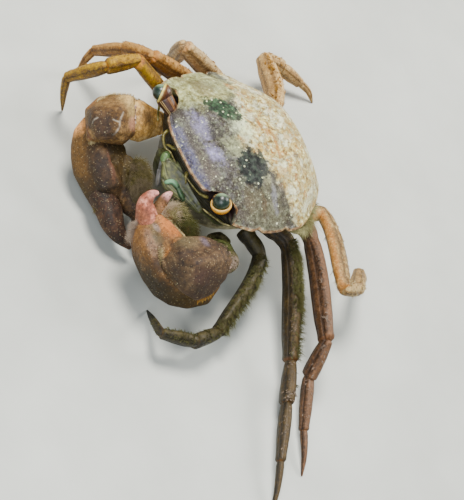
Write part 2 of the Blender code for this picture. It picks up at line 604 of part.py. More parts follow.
def buildClaw(sideName, c):
    sign = 1 if sideName == "left" else -1
    colour = (0.42, 0.24, 0.14)
    start, normal = legRoot(sign, -5.4)
    wrist = Vector(c["wrist"])
    carpusCentre = Vector(c["carpus"])
    palmCentre = Vector(c["palm"])
    armNormal = (carpusCentre - wrist).normalized()
    path = [start, Vector(c["elbow"]), wrist]
    steps = [(0.0, 1.4, 1.5), (0.15, 1.4, 1.6), (0.35, 1.5, 1.9), (0.65, 1.6, 2.6), (0.88, 1.6, 2.6), (1.0, 1.4, 2.1)]
    addNode(sideName + "_claw_arm", sweep(path, steps, c["armThin"], (start, normal),
                                          (wrist - armNormal * jointGap / 2, armNormal), count=16, power=2.4,
                                          reach=0.3), colour)

    cutNormal = Vector(c["cutNormal"]).normalized()
    cutPoint = carpusCentre + cutNormal * c["cut"]
    bm = ball(carpusCentre, axesFrom(c["carpusLong"], c["carpusUp"]), c["carpusHalf"], 14, 20)
    tooth = Vector(c["carpusTooth"])
    for vert in bm.verts:
        pull = math.exp(-((vert.co - tooth).length / 2.0) ** 2)
        vert.co = vert.co.lerp(tooth, min(0.85, pull))
    trim(bm, cutPoint - cutNormal * jointGap / 2, cutNormal)
    trim(bm, wrist + armNormal * jointGap / 2, -armNormal)
    hand = addNode(sideName + "_claw_wrist", bm, colour)
    tree = treeOf(hand)
    spikes = []
    for inside, lean in c["spikes"]:
        away = Vector(lean).normalized()
        foot, normal = surfaceAt(tree, carpusCentre + Vector(inside), away)
        spikes.append(addCutter("spike", spine(foot, away, 0.9, 0.36)))
    combine(hand, spikes, "UNION")

    axis, thickAxis, up = axesFrom(c["axis"], c["up"])
    length, thick, high = c["palmHalf"]
    base = palmCentre - axis * length
    end = palmCentre + axis * length
    steps = [(0.0, thick * 0.5, high * 0.5), (0.08, thick * 0.75, high * 0.74), (0.22, thick * 0.93, high * 0.92),
             (0.42, thick, high), (0.62, thick, high), (0.8, thick * 0.93, high * 0.92), (0.94, thick * 0.8, high * 0.82),
             (1.0, thick * 0.66, high * 0.7)]
    bm = sweep([base, end], steps, thickAxis, count=20, power=2.2)
    trim(bm, cutPoint + cutNormal * jointGap / 2, -cutNormal)
    palm = addNode(sideName + "_claw_palm", bm, colour)
    lowRoot = palmCentre + axis * (length * 0.55) - up * (high * 0.45)
    steps = [(0.0, 1.5, 1.7), (0.3, 1.35, 1.6), (0.6, 1.0, 1.15), (0.85, 0.6, 0.7), (1.0, 0.25, 0.3)]
    path = [lowRoot, end - up * (high * 0.45), Vector(c["lowBend"]), Vector(c["lowTip"])]
    extras = [addCutter("lower finger", sweep(path, steps, thickAxis, count=12, power=2.0))]
    for brush, push, halves in (("inner", 1, (1.9, 1.0, 1.5)), ("outer", -1, (1.3, 0.8, 1.1))):
        out = thickAxis * (-push * sign)
        centre = palmCentre + axis * (length * 0.92) + out * (thick * 0.72)
        extras.append(addCutter("tuft", ball(centre, (axis, thickAxis, up), halves, 6, 10)))
        count, size, spread = brushes[brush]
        for i in range(count):
            angle = 2.4 * i
            reach = spread * math.sqrt((i + 0.5) / count)
            foot = centre + axis * (math.cos(angle) * halves[0] * 0.6 * reach) + up * (
                math.sin(angle) * halves[2] * 0.6 * reach) + out * (halves[1] * 0.55)
            lean = out + axis * (0.5 + math.cos(angle) * reach * 0.6) + up * (math.sin(angle) * reach * 0.7)
            grown = c["brushLength"] * size * random.uniform(0.85, 1.1)
            extras.append(addCutter("lock", lock(foot, lean, axis + up * 0.2, grown, lockHalfWidth)))
    combine(palm, extras, "UNION")

    joint = end + up * (high * 0.36) + axis * jointGap
    steps = [(0.0, 1.3, 1.35), (0.12, 1.35, 1.5), (0.35, 1.2, 1.35), (0.65, 0.95, 1.0), (0.85, 0.6, 0.7),
             (1.0, 0.25, 0.3)]
    path = [joint, Vector(c["bend"]), Vector(c["tip"])]
    addNode(sideName + "_claw_finger", sweep(path, steps, thickAxis, (joint, axis), count=14, power=2.1), colour)


for clawSide in ("left", "right"):
    buildClaw(clawSide, claws[clawSide])


# in metres, standing on the ground, the origin below the middle of the whole
corners = [vert.co for thing in part.objects for vert in thing.data.vertices]
middle = [(min(c[i] for c in corners) + max(c[i] for c in corners)) / 2 for i in (0, 1)]
toRow = Matrix.Scale(metre, 4) @ Matrix.Translation((-middle[0], -middle[1], rideHeight))
for thing in part.objects:
    thing.data.transform(toRow)
    thing.data.update()
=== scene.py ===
import bpy
import bmesh
import math
import random
import numpy as np
from mathutils import Matrix, Vector
from mathutils.bvhtree import BVHTree


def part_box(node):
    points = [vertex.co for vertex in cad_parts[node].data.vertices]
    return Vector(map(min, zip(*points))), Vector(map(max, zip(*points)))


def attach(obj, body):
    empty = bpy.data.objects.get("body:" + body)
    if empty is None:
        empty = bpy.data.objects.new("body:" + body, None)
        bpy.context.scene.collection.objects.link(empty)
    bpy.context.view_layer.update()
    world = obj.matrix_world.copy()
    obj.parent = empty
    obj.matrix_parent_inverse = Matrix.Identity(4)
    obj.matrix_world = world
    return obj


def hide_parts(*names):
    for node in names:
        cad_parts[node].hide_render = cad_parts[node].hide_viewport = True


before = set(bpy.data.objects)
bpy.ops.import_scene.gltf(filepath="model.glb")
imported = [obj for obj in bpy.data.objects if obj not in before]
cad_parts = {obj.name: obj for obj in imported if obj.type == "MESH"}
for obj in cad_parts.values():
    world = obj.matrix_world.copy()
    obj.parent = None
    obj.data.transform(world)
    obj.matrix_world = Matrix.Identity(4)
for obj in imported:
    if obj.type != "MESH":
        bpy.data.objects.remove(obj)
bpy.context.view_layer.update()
random.seed(11)
scene = bpy.context.scene

# every piece is modelled in millimetres from the middle of the shell, nose to -Y and left side to +X,
# and goes to metres at the end; the left eye's solid tells where that middle is
eyes = {
    "left": {"centre": (7.65, -9.35, 0.45), "root": (6.9, -8.3, -1.1), "gaze": (-0.3, -0.32, 0.88)},
    "right": {"centre": (-9.2, -9.7, 0.0), "root": (-6.75, -8.5, -0.9), "gaze": (-0.7, -0.69, -0.18)},
    "cornea": 1.05, "cup": 1.34, "cupBack": {"left": 0.42, "right": 0.16}, "stalk": 0.95,
}
eyeLow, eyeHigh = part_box("left_eye")
bodyPlace = (eyeLow + eyeHigh) * 500 - Vector(eyes["left"]["centre"])
toRow = Matrix.Scale(0.001, 4) @ Matrix.Translation(bodyPlace)


# small tools

def vectors(points):
    return [Vector(p) for p in points]


def toMesh(bm, name):
    mesh = bpy.data.meshes.new(name)
    bm.to_mesh(mesh)
    bm.free()
    return mesh


def makeTube(sides, rings):
    # capped tube of radius 1 from z 0 to z 1
    bm = bmesh.new()
    bmesh.ops.create_cone(bm, cap_ends=True, cap_tris=True, segments=sides, radius1=1, radius2=1, depth=1)
    bmesh.ops.translate(bm, vec=(0, 0, 0.5), verts=bm.verts)
    upright = [edge for edge in bm.edges if abs(edge.verts[0].co.z - edge.verts[1].co.z) > 0.5]
    bmesh.ops.subdivide_edges(bm, edges=upright, cuts=rings - 2, use_grid_fill=True)
    return bm


def addPiece(name, bm, material, nodes=()):
    bmesh.ops.recalc_face_normals(bm, faces=bm.faces)
    return finishPiece(name, toMesh(bm, name), material, nodes)


def finishPiece(name, mesh, material, nodes=()):
    mesh.transform(toRow)
    mesh.shade_smooth()
    mesh.materials.append(material)
    piece = bpy.data.objects.new(name, mesh)
    scene.collection.objects.link(piece)
    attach(piece, "root")
    if nodes:
        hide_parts(*nodes)
    return piece


def pathPoint(points, t):
    # a smooth curve through the points, t from 0 to 1
    spans = len(points) - 1
    lengths = [(points[i + 1] - points[i]).length for i in range(spans)]
    run = t * sum(lengths)
    i = 0
    while i < spans - 1 and run > lengths[i]:
        run -= lengths[i]
        i += 1
    s = min(run / lengths[i], 1.0)
    a, b = points[i], points[i + 1]
    before = points[i - 1] if i > 0 else a * 2 - b
    after = points[i + 2] if i + 2 <= spans else b * 2 - a
    enter = (b - before).normalized() * lengths[i]
    leave = (after - a).normalized() * lengths[i]
    first = a * (2 * s ** 3 - 3 * s ** 2 + 1) + enter * (s ** 3 - 2 * s ** 2 + s)
    return first + b * (3 * s ** 2 - 2 * s ** 3) + leave * (s ** 3 - s ** 2)


def planLimb(path, stations, thin, power=2.3, keel=0.0, groove=0.0, ends=(0.06, 0.05), softness=5):
    # stations are (t, half thickness, half height); the frame along the path never twists
    points = vectors(path)
    side = Vector(thin).normalized()
    frames = []
    for i in range(61):
        t = i / 60
        ahead, behind = pathPoint(points, min(1.0, t + 0.012)), pathPoint(points, max(0.0, t - 0.012))
        heading = (ahead - behind).normalized()
        side = (side - heading * side.dot(heading)).normalized()
        frames.append((pathPoint(points, t), side.copy(), heading.cross(side).normalized(), heading))
    at = np.linspace(0, 1, 121)
    sizes = []
    for column in (1, 2):
        run = np.interp(at, [s[0] for s in stations], [s[column] for s in stations])
        for _ in range(softness):
            run = np.convolve(np.pad(run, 2, mode="edge"), [0.1, 0.2, 0.4, 0.2, 0.1], mode="valid")
        if ends[0] > 0:
            run *= np.sqrt(np.clip(1 - np.clip(1 - at / ends[0], 0, 1) ** 2, 0.12, 1))
        if ends[1] > 0:
            run *= np.sqrt(np.clip(1 - np.clip(1 - (1 - at) / ends[1], 0, 1) ** 2, 0.12, 1))
        sizes.append(run)
    return {
        "frames": frames, "at": at, "half": sizes[0], "height": sizes[1], "power": power, "keel": keel,
        "groove": groove,
    }


def limbSpot(plan, t, angle, rim=1.0):
    # a place on a limb's skin and the way it faces
    frames = plan["frames"]
    place = min(max(t, 0.0), 1.0) * (len(frames) - 1)
    i = min(int(place), len(frames) - 2)
    share = place - i
    centre = frames[i][0].lerp(frames[i + 1][0], share)
    side = frames[i][1].lerp(frames[i + 1][1], share)
    up = frames[i][2].lerp(frames[i + 1][2], share)
    half = float(np.interp(t, plan["at"], plan["half"]))
    height = float(np.interp(t, plan["at"], plan["height"]))
    c, s = math.cos(angle), math.sin(angle)
    x = math.copysign(abs(c) ** (2 / plan["power"]), c)
    y = math.copysign(abs(s) ** (2 / plan["power"]), s)
    swell = 1 + plan["keel"] * math.exp(-((abs(angle) - math.pi / 2) / 0.3) ** 2)
    for line in (0.42, -0.42, math.pi - 0.42, 0.42 - math.pi):
        away = math.remainder(angle - line, 2 * math.pi)
        swell -= plan["groove"] * math.exp(-(away / 0.17) ** 2)
    out = side * (x * half) + up * (y * height)
    facing = side * (x / max(half, 0.05)) + up * (y / max(height, 0.05))
    return centre + out * (swell * rim), facing.normalized()


def limbMesh(plan, sides=24, rings=34):
    bm = makeTube(sides, rings)
    along = bm.verts.layers.float.new("along")
    across = bm.verts.layers.float.new("across")
    upward = bm.verts.layers.float.new("upward")
    for vert in bm.verts:
        t = vert.co.z - 0.1 * math.sin(2 * math.pi * vert.co.z)   # rings stand closer near the ends
        angle = math.atan2(vert.co.y, vert.co.x)
        rim = min(1.0, math.hypot(vert.co.x, vert.co.y))
        vert[along] = t
        vert[across] = math.cos(angle) * rim
        vert[upward] = math.sin(angle) * rim
        vert.co = limbSpot(plan, t, angle, rim)[0]
    return bm


def ballMesh(centre, axes, halves, segments=32, rings=20, power=None):
    # a ball, or with a power something between a ball and a block
    bm = bmesh.new()
    bmesh.ops.create_uvsphere(bm, u_segments=segments, v_segments=rings, radius=1.0)
    if power:
        for vert in bm.verts:
            vert.co /= sum(abs(c) ** power for c in vert.co) ** (1 / power)
    turn = Matrix([Vector(axes[i]) * halves[i] for i in range(3)]).transposed().to_4x4()
    bmesh.ops.transform(bm, matrix=Matrix.Translation(Vector(centre)) @ turn, verts=bm.verts)
    return bm


def hullMesh(balls):
    # the tight wrap round a set of small balls
    bm = bmesh.new()
    for centre, radius in balls:
        bmesh.ops.create_icosphere(bm, subdivisions=3, radius=radius, matrix=Matrix.Translation(centre))
    bmesh.ops.delete(bm, geom=list(bm.edges), context="EDGES_FACES")
    bmesh.ops.convex_hull(bm, input=list(bm.verts))
    bmesh.ops.delete(bm, geom=[vert for vert in bm.verts if not vert.link_faces], context="VERTS")
    return bm


def pressLine(bm, line, width, depth):
    # a groove along a line of points, or a ridge where the depth is below zero, marked for the paint
    bm.normal_update()
    crease = bm.verts.layers.float.get("crease") or bm.verts.layers.float.new("crease")
    surface = treeOf(bm)
    path = vectors(line)
    points = [surface.find_nearest(pathPoint(path, i / 18))[0] for i in range(19)]
    for vert in bm.verts:
        near = 1e9
        for a, b in zip(points, points[1:]):
            share = max(0.0, min(1.0, (vert.co - a).dot(b - a) / max((b - a).length_squared, 1e-9)))
            near = min(near, (vert.co - a.lerp(b, share)).length)
        if near < width * 3:
            pressed = math.exp(-(near / width) ** 2)
            vert.co -= vert.normal * (depth * pressed)
            vert[crease] = max(vert[crease], pressed * (width < 0.24))


def axesFrom(first, upHint):
    first = Vector(first).normalized()
    third = Vector(upHint)
    third = (third - first * third.dot(first)).normalized()
    return first, third.cross(first), third


def limbPiece(name, plan, sides, rings, material, nodes=()):
    return addPiece(name, limbMesh(plan, sides, rings), material, nodes)


def joined(parts):
    whole = bmesh.new()
    for bm in parts:
        mesh = toMesh(bm, "loose")
        whole.from_mesh(mesh)
        bpy.data.meshes.remove(mesh)
    return whole


def fused(parts, voxel, passes):
    # closed forms melted into one skin
    bm = joined(parts)
    bmesh.ops.recalc_face_normals(bm, faces=bm.faces)
    mesh = toMesh(bm, "loose")

    thing = bpy.data.objects.new("loose", mesh)
    scene.collection.objects.link(thing)
    remesh = thing.modifiers.new("remesh", "REMESH")
    remesh.mode = "VOXEL"
    remesh.voxel_size = voxel
    smooth = thing.modifiers.new("smooth", "SMOOTH")
    smooth.factor = 0.5
    smooth.iterations = passes
    result = bpy.data.meshes.new_from_object(thing.evaluated_get(bpy.context.evaluated_depsgraph_get()))
    whole = bmesh.new()
    whole.from_mesh(result)
    bpy.data.objects.remove(thing)
    bpy.data.meshes.remove(mesh)
    bpy.data.meshes.remove(result)
    return whole


def treeOf(bm):
    return BVHTree.FromBMesh(bm)


# colour and material tools

def tone(red, green, blue, depth=3.1, richness=1.12):
    # a colour as seen, made deeper for the soft film-like view
    linear = [(c / 255) ** depth * gain for c, gain in ((red, 1.04), (green, 1.12), (blue, 1.12))]
    grey = 0.25 * linear[0] + 0.65 * linear[1] + 0.1 * linear[2]
    return tuple(min(1.0, max(0.0, grey + (c - grey) * richness)) for c in linear) + (1.0,)


def seen(colour):
    # three numbers are a colour as seen, from 0 to 255; anything else is ready for a node
    return tone(*colour) if isinstance(colour, tuple) and len(colour) == 3 else colour


class Skin:
    # a material being made: its nodes, the point in millimetres and the colour so far
    def __init__(self, name, coat=0.0, specular=0.45):
        self.material = bpy.data.materials.new(name)
        self.material.use_nodes = True
        self.tree = self.material.node_tree
        self.shader = self.tree.nodes["Principled BSDF"]
        self.shader.inputs["Coat Weight"].default_value = coat
        self.shader.inputs["Coat Roughness"].default_value = 0.25
        self.shader.inputs["Specular IOR Level"].default_value = specular
        # object coordinates turned back into the millimetres that the pieces are modelled in
        self.local = self.wire("TexCoord", {}).outputs["Object"]
        inputs = {0: self.local, 1: tuple(-bodyPlace), 3: (1000, 1000, 1000)}
        self.point = self.wire("Mapping", inputs).outputs[0]
        self.base = None

    def wire(self, kind, inputs, **settings):
        step = self.tree.nodes.new("ShaderNode" + kind)
        for key, value in settings.items():
            setattr(step, key, value)
        for key, value in inputs.items():
            if isinstance(value, bpy.types.NodeSocket):
                self.tree.links.new(value, step.inputs[key])
            else:
                step.inputs[key].default_value = value
        return step

    def sums(self, kind, *values):
        return self.wire("Math", dict(enumerate(values)), operation=kind).outputs[0]

    def times(self, a, b):
        return self.sums("MULTIPLY", a, b)

    def blend(self, *parts):
        # the sum of values, each at its weight
        total = None
        for value, weight in parts:
            part = value if weight == 1 else self.times(value, weight)
            total = self.sums("ADD", total, part) if total else part
        return total

    def vector(self, kind, a, b):
        return self.wire("VectorMath", {0: a, 1: b}, operation=kind).outputs

    def mix(self, share, a, b, kind="MIX"):
        inputs = {0: share, 6: a, 7: seen(b)}
        return self.wire("Mix", inputs, data_type="RGBA", blend_type=kind).outputs[2]

    def lay(self, mark, strength, colour):
        # a colour laid over the skin where the mark is
        self.base = self.mix(self.times(mark, strength), self.base, colour)

    def between(self, value, low, high, first=0.0, last=1.0):
        inputs = {0: value, 1: low, 2: high, 3: first, 4: last}
        return self.wire("MapRange", inputs, interpolation_type="SMOOTHSTEP").outputs[0]

    def ramp(self, share, *stops):
        step = self.wire("ValToRGB", {0: share})
        while len(step.color_ramp.elements) < len(stops):
            step.color_ramp.elements.new(0.5)
        for element, (place, colour) in zip(step.color_ramp.elements, stops):
            element.position = place
            element.color = seen(colour)
        return step.outputs[0]

    def axis(self, which):
        return self.wire("SeparateXYZ", {0: self.point}).outputs[which]

    def attribute(self, name):
        return self.wire("Attribute", {}, attribute_name=name).outputs["Fac"]

    def noise(self, scale, detail=3.0, rough=0.55, distortion=0.0, point=None):
        inputs = {"Vector": point or self.point, "Scale": scale, "Detail": detail, "Roughness": rough}
        return self.wire("TexNoise", {**inputs, "Distortion": distortion}).outputs[0]

    def lines(self, name, scale, detail):
        # uneven stripes across a value kept on the mesh
        inputs = {"W": self.times(self.attribute(name), scale), "Scale": 1.0, "Detail": detail}
        return self.wire("TexNoise", inputs, noise_dimensions="1D").outputs[0]

    def cloudy(self, noiseValues, low, high, first=0.0, last=1.0):
        return self.between(self.noise(*noiseValues), low, high, first, last)

    def specks(self, scale, share, size):
        # round grains of uneven size, in a share of the cells
        cells = self.wire("TexVoronoi", {"Vector": self.point, "Scale": scale})
        pick = self.wire("SeparateColor", {0: cells.outputs["Color"]}).outputs
        reach = self.sums("MULTIPLY_ADD", pick[1], size * 0.6, size * 0.5)
        dot = self.sums("GREATER_THAN", reach, cells.outputs["Distance"])
        return self.times(dot, self.sums("LESS_THAN", pick[0], share))

    def spot(self, centre, radii, soft=0.3, wobble=0.5, grain=0.6, point=None):
        # an oval patch with a ragged edge, 1 inside
        point = point or self.point
        apart = self.vector("SUBTRACT", point, centre)[0]
        scaled = self.vector("MULTIPLY", apart, tuple(1 / r for r in radii))[0]
        far = self.wire("VectorMath", {0: scaled}, operation="LENGTH").outputs["Value"]
        ragged = self.sums("MULTIPLY_ADD", self.noise(grain, 4.0, 0.7, 0.0, point), wobble * 2, -wobble)
        return self.between(self.sums("ADD", far, ragged), 1 - soft, 1 + soft, 1.0, 0.0)

    def mottle(self, scale, share):
        # fine darker and paler flecks laid over the colour
        stops = (0.4, (0.16, 0.14, 0.12, 1)), (0.5, (0.5, 0.5, 0.5, 1)), (0.6, (0.8, 0.79, 0.75, 1))
        flecks = self.ramp(self.noise(scale, 7.0, 0.75), *stops)
        self.base = self.mix(share, self.base, flecks, "OVERLAY")

    def done(self, height, depth, grain=None, rough=None):
        # joins colour, roughness that follows a grain, and relief; gives the finished material
        self.tree.links.new(self.base, self.shader.inputs["Base Color"])
        if rough:
            self.tree.links.new(self.between(grain, *rough), self.shader.inputs["Roughness"])
        lift = self.wire("Bump", {"Strength": 1.0, "Distance": depth * 0.001, "Height": height})
        self.tree.links.new(lift.outputs[0], self.shader.inputs["Normal"])
        return self.material


print("tools ready")

# shell
shell = {
    "halfWidth": 12.4, "front": -10.6, "rear": 10.5, "top": 3.0, "skirt": -4.7, "skirtScale": 0.76,
    "skirtFront": 0.86, "powers": (2.1, 2.5, 4.4),
    "orbit": [
        (5.9, -10.25, 0.0), (6.5, -9.1, 0.3), (7.7, -8.1, 0.4), (9.2, -7.5, 0.2), (10.1, -7.8, -0.2),
        (10.65, -8.75, -0.4),
    ],
    "calmOrbit": [
        (5.9, -10.25, 0.0), (6.9, -10.15, -0.1), (8.2, -9.8, -0.2), (9.5, -9.3, -0.3),
        (10.65, -8.75, -0.4),
    ],
    "socket": (7.95, -9.4, -0.7), "socketHalf": (2.5, 2.3, 1.65), "bead": 0.13,
}


def run(points, count):
    path = vectors(points)
    return [pathPoint(path, i / count) for i in range(count)]


def shellEdge(orbit):
    w, rear = shell["halfWidth"], shell["rear"]
    front = [
        (0.0, shell["front"] - 0.35, -0.45), (2.8, shell["front"] - 0.35, -0.4),
        (5.1, shell["front"], -0.2), (5.9, shell["front"] + 0.35, 0.0),
    ]
    first = [(10.65, -8.75, -0.4), (11.35, -7.2, -0.65), (w - 0.6, -5.6, -0.9), (w - 0.85, -4.2, -1.1)]
    second = [
        (w - 0.25, -4.0, -1.2), (w - 0.05, -2.2, -1.35), (w - 0.1, -0.6, -1.45), (w - 0.5, 0.4, -1.6),
    ]
    back = [
        (w + 0.05, 0.7, -1.6), (w - 0.15, 2.4, -1.8), (w - 0.9, 4.5, -2.1), (9.9, 6.8, -2.4),
        (8.3, 8.8, -2.6), (6.0, rear - 0.1, -2.7), (3.0, rear, -2.75), (0.0, rear - 0.1, -2.75),
    ]
    half = run(front, 28) + run(orbit, 36) + run(first, 28) + run(second, 24) + run(back, 76)
    other = [Vector((-p.x, p.y, p.z)) for p in half[1:]]
    return np.array([tuple(p) for p in half + [Vector((0.0, rear - 0.1, -2.75))] + other[::-1]])


def relief(x, y):
    # low swellings and grooves of the back
    ax = abs(x)
    sink = 0.34 * math.exp(-((y - 1.6) / 0.6) ** 2) * math.exp(-((ax - 2.6) / 2.0) ** 2)
    sink += 0.3 * math.exp(-((ax - 3.4 - 0.25 * (y + 1)) / 0.5) ** 2) * math.exp(-((y + 0.2) / 2.6) ** 2)
    sink += 0.18 * math.exp(-(x / 0.6) ** 2 - ((y + 7.2) / 1.9) ** 2)
    sink += 0.15 * math.exp(-((ax - 7.4 + 0.3 * (y + 4)) / 0.7) ** 2) * math.exp(-((y + 4.6) / 2.2) ** 2)
    rise = 0.26 * math.exp(-((ax - 3.0) / 1.4) ** 2 - ((y + 6.6) / 1.1) ** 2)
    rise += 0.16 * math.exp(-((ax - 4.8) / 1.6) ** 2 - ((y + 2.6) / 1.8) ** 2)
    rise += 0.2 * math.exp(-(x / 1.8) ** 2 - ((y - 4.4) / 1.8) ** 2)
    rise += 0.14 * math.exp(-((ax - 8.6) / 1.3) ** 2 - ((y + 4.4) / 1.5) ** 2)
    return rise - sink


def shellMesh():
    sharp = shellEdge(shell["orbit"])
    calm = shellEdge(shell["calmOrbit"])
    for _ in range(500):
        calm = (np.roll(calm, 1, 0) + calm * 2 + np.roll(calm, -1, 0)) / 4
    count = len(sharp)
    radii = list(np.linspace(0.02, 0.92, 40)) + list(np.linspace(0.93, 1.0, 14))
    # then the edge and the side wall: side scale, front scale, how far down, share of the sharp outline
    walls = [
        (1.0, 1.0, 0.0, 1.0), (0.996, 0.996, 0.06, 0.98), (0.985, 0.985, 0.11, 0.9),
        (0.965, 0.978, 0.16, 0.7),
    ]
    for i in range(12):
        s = (i + 1) / 12
        sideways = 0.965 + (shell["skirtScale"] - 0.965) * s ** 1.1
        forward = 0.975 + (shell["skirtFront"] - 0.975) * s
        walls.append((sideways, forward, 0.16 + 0.84 * s, 0.5 * (1 - s) ** 2))
    walls += [(0.6, 0.7, 1.02, 0.0), (0.3, 0.35, 1.02, 0.0), (0.02, 0.02, 1.02, 0.0)]
    rings = len(radii) + len(walls)
    bm = makeTube(count, rings)
    edgeLayer = bm.verts.layers.float.new("edge")
    pitLayer = bm.verts.layers.float.new("pit")
    socket, half = shell["socket"], shell["socketHalf"]
    side, front, rear = shell["powers"][1], shell["powers"][0], shell["powers"][2]
    for vert in bm.verts:
        ring = round(vert.co.z * (rings - 1))
        spot = round(math.atan2(vert.co.y, vert.co.x) / (2 * math.pi) * count) % count
        rim = min(1.0, math.hypot(vert.co.x, vert.co.y))
        if rim < 0.5:
            spot = 0
        if ring < len(radii):
            r = radii[ring] * (1 if rim > 0.5 else 0)
            share = min(1.0, max(0.0, (r - 0.62) / 0.36)) ** 2
            p = calm[spot] * (1 - share) + sharp[spot] * share
            flat = math.hypot(p[0], p[1])
            ahead, behind = max(0.0, -p[1]) / flat, max(0.0, p[1]) / flat
            power = side + (front - side) * ahead ** 2 + (rear - side) * behind ** 1.5
            x, y = p[0] * r, p[1] * r
            z = p[2] + (shell["top"] - p[2]) * (1 - r ** power) + relief(x, y) * (1 - r ** 6)
            bead = shell["bead"] * math.exp(-((r - 0.988) / 0.009) ** 2)
            z += bead - 0.08 * math.exp(-((r - 0.965) / 0.012) ** 2)
            if r > 0.993:
                z -= 0.05
            vert[edgeLayer] = r
        else:
            sideScale, frontScale, fall, share = walls[ring - len(radii)]
            p = calm[spot] * (1 - share) + sharp[spot] * share
            ahead = max(0.0, -p[1]) / math.hypot(p[0], p[1])
            r = (sideScale + (frontScale - sideScale) * ahead ** 1.5) * (1 if rim > 0.5 else 0)
            x, y = p[0] * r, p[1] * r
            z = p[2] * (1 - fall) + shell["skirt"] * fall
            vert[edgeLayer] = 1.0 + fall
        # the eye sockets are pressed in from the front
        dx, dz = (abs(x) - socket[0]) / half[0], (z - socket[2]) / half[2]
        inside = 1 - dx * dx - dz * dz
        pit = 0.0
        if inside > 0 and vert[edgeLayer] > 0.985:
            wall = socket[1] + half[1] * math.sqrt(inside)
            if y < wall and y < socket[1] + half[1]:
                pit = min(1.0, (wall - y) / 1.2)
                y = wall
        vert[pitLayer] = pit
        vert.co = (x, y, z)
    return bm


# lilac colour that also carries a painted highlight on the front lobes
lilacAndHighlight = tone(142, 134, 164, 2.9, 1.0)
shellMarksAndPaintedLight = [   # place, half sizes, colour, strength
    ((0.0, -10.3, 0.2), (6.0, 0.75, 1.6), (112, 108, 136), 0.85),
    # the next two: lilac colour with a painted highlight on the front lobes
    ((-2.8, -7.6, 2.0), (2.4, 0.9, 3.0), lilacAndHighlight, 0.85),
    ((1.3, -7.5, 2.0), (1.7, 0.9, 3.0), lilacAndHighlight, 0.95),
    ((3.4, -10.0, 0.4), (1.6, 0.6, 2.0), (112, 108, 136), 0.6),
    # painted shade: brown below the front lobes
    ((-1.2, -9.0, 1.5), (2.6, 0.6, 3.0), (76, 62, 48), 0.8),
    ((-5.4, -9.7, 0.3), (1.2, 1.0, 2.0), (70, 56, 46), 0.8),
    ((-0.8, -6.3, 2.6), (2.0, 0.7, 3.0), (62, 52, 46), 0.85),
    # painted shade: brown below the front lobes
    ((2.0, -8.9, 1.4), (2.2, 0.6, 3.0), (84, 72, 58), 0.8),
    ((-1.2, -2.4, 3.0), (2.4, 1.3, 3.0), (226, 228, 200), 0.8),
    ((1.2, -4.8, 2.8), (1.5, 1.2, 3.0), (196, 196, 164), 0.6),
    ((-8.4, -3.9, 1.2), (1.9, 1.3, 3.0), (120, 98, 60), 0.6),
    ((-11.2, -5.2, -0.6), (0.8, 0.9, 2.0), (120, 98, 60), 0.5),
    ((3.2, -9.0, 0.8), (2.0, 0.9, 2.0), (104, 88, 76), 0.6),
    ((9.3, -3.4, 0.7), (1.5, 0.4, 2.0), (112, 92, 66), 0.8),
    ((8.3, 0.0, 1.1), (1.9, 0.5, 2.0), (84, 72, 72), 0.85),
    ((8.9, -1.5, 0.9), (1.6, 0.45, 2.0), (156, 152, 160), 0.7),
    ((6.4, -2.1, 2.1), (0.9, 0.5, 2.0), (198, 194, 164), 0.7),
    ((8.4, -5.6, 0.9), (1.4, 0.7, 2.0), (108, 92, 68), 0.6),
    # painted highlight: a paler lilac spot on a front lobe
    ((1.5, -7.4, 1.6), (0.7, 0.7, 1.5), (178, 170, 206), 0.6),
    ((4.0, 3.9, 2.5), (0.3, 0.5, 1.0), (96, 64, 40), 0.8),
]
darkPatches = [   # place, slant, half sizes, dark to light
    ((-4.15, -3.55, 2.6), 0.66, (2.9, 1.25, 4.0), ((30, 42, 32), (62, 84, 62), (92, 124, 96))),
    ((4.55, -3.5, 2.5), -0.6, (2.5, 2.1, 4.0), ((24, 30, 30), (44, 54, 52), (92, 102, 92))),
]
marbling = {   # noise: scale, detail, roughness, twist; where it starts and is full; strength, colour
    "front": [
        ((0.55, 6.0, 0.75, 0.6), 0.47, 0.56, 0.7, (86, 74, 60)),
        ((0.8, 5.0, 0.7, 0.3), 0.5, 0.58, 0.45, (138, 142, 122)),
    ],
    "rear": [
        ((0.8, 7.0, 0.75, 0.4), 0.49, 0.56, 0.6, (182, 150, 100)),
        ((0.4, 8.0, 0.75, 0.3), 0.5, 0.56, 0.7, (240, 238, 216)),
        ((0.3, 6.0, 0.7, 0.5), 0.53, 0.6, 0.65, (194, 164, 104)),
        ((1.1, 6.0, 0.75, 0.8), 0.56, 0.6, 0.6, (190, 132, 78)),
        ((1.9, 5.0, 0.8, 0.4), 0.6, 0.64, 0.7, (96, 68, 42)),
    ],
}
shellStops = {
    "front": [(0.36, (66, 58, 52)), (0.47, (88, 80, 76)), (0.54, (104, 98, 98)), (0.66, (130, 124, 126))],
    "rear": [
        (0.37, (138, 112, 70)), (0.46, (194, 174, 124)), (0.53, (218, 206, 160)), (0.62, (242, 238, 210)),
    ],
    "shoulder": [
        (0.3, (112, 100, 62)), (0.46, (172, 168, 124)), (0.62, (208, 208, 172)), (0.75, (232, 232, 206)),
    ],
    "flank": [
        (0.36, (98, 90, 68)), (0.48, (120, 114, 92)), (0.56, (138, 134, 112)), (0.68, (166, 162, 144)),
    ],
    "rim": [(0.36, (130, 100, 78)), (0.5, (190, 154, 118)), (0.64, (226, 206, 172))],
    "wall": [(0.1, (48, 44, 28)), (0.55, (62, 58, 38)), (0.95, (88, 82, 52))],
    "pit": [(0.3, (36, 22, 20)), (0.7, (78, 50, 44))],
# painted shade: dark inside the eye sockets
}
orangeLine = [
    ((-1.2, 0.3, 2.9), (1.1, 0.25, 3.0)), ((0.2, 1.0, 2.9), (0.6, 0.5, 3.0)),
    ((1.5, 1.7, 2.8), (1.2, 0.25, 3.0)), ((3.2, 1.5, 2.6), (0.8, 0.3, 3.0)),
    ((-8.2, 0.4, 1.2), (0.9, 0.4, 3.0)),
]


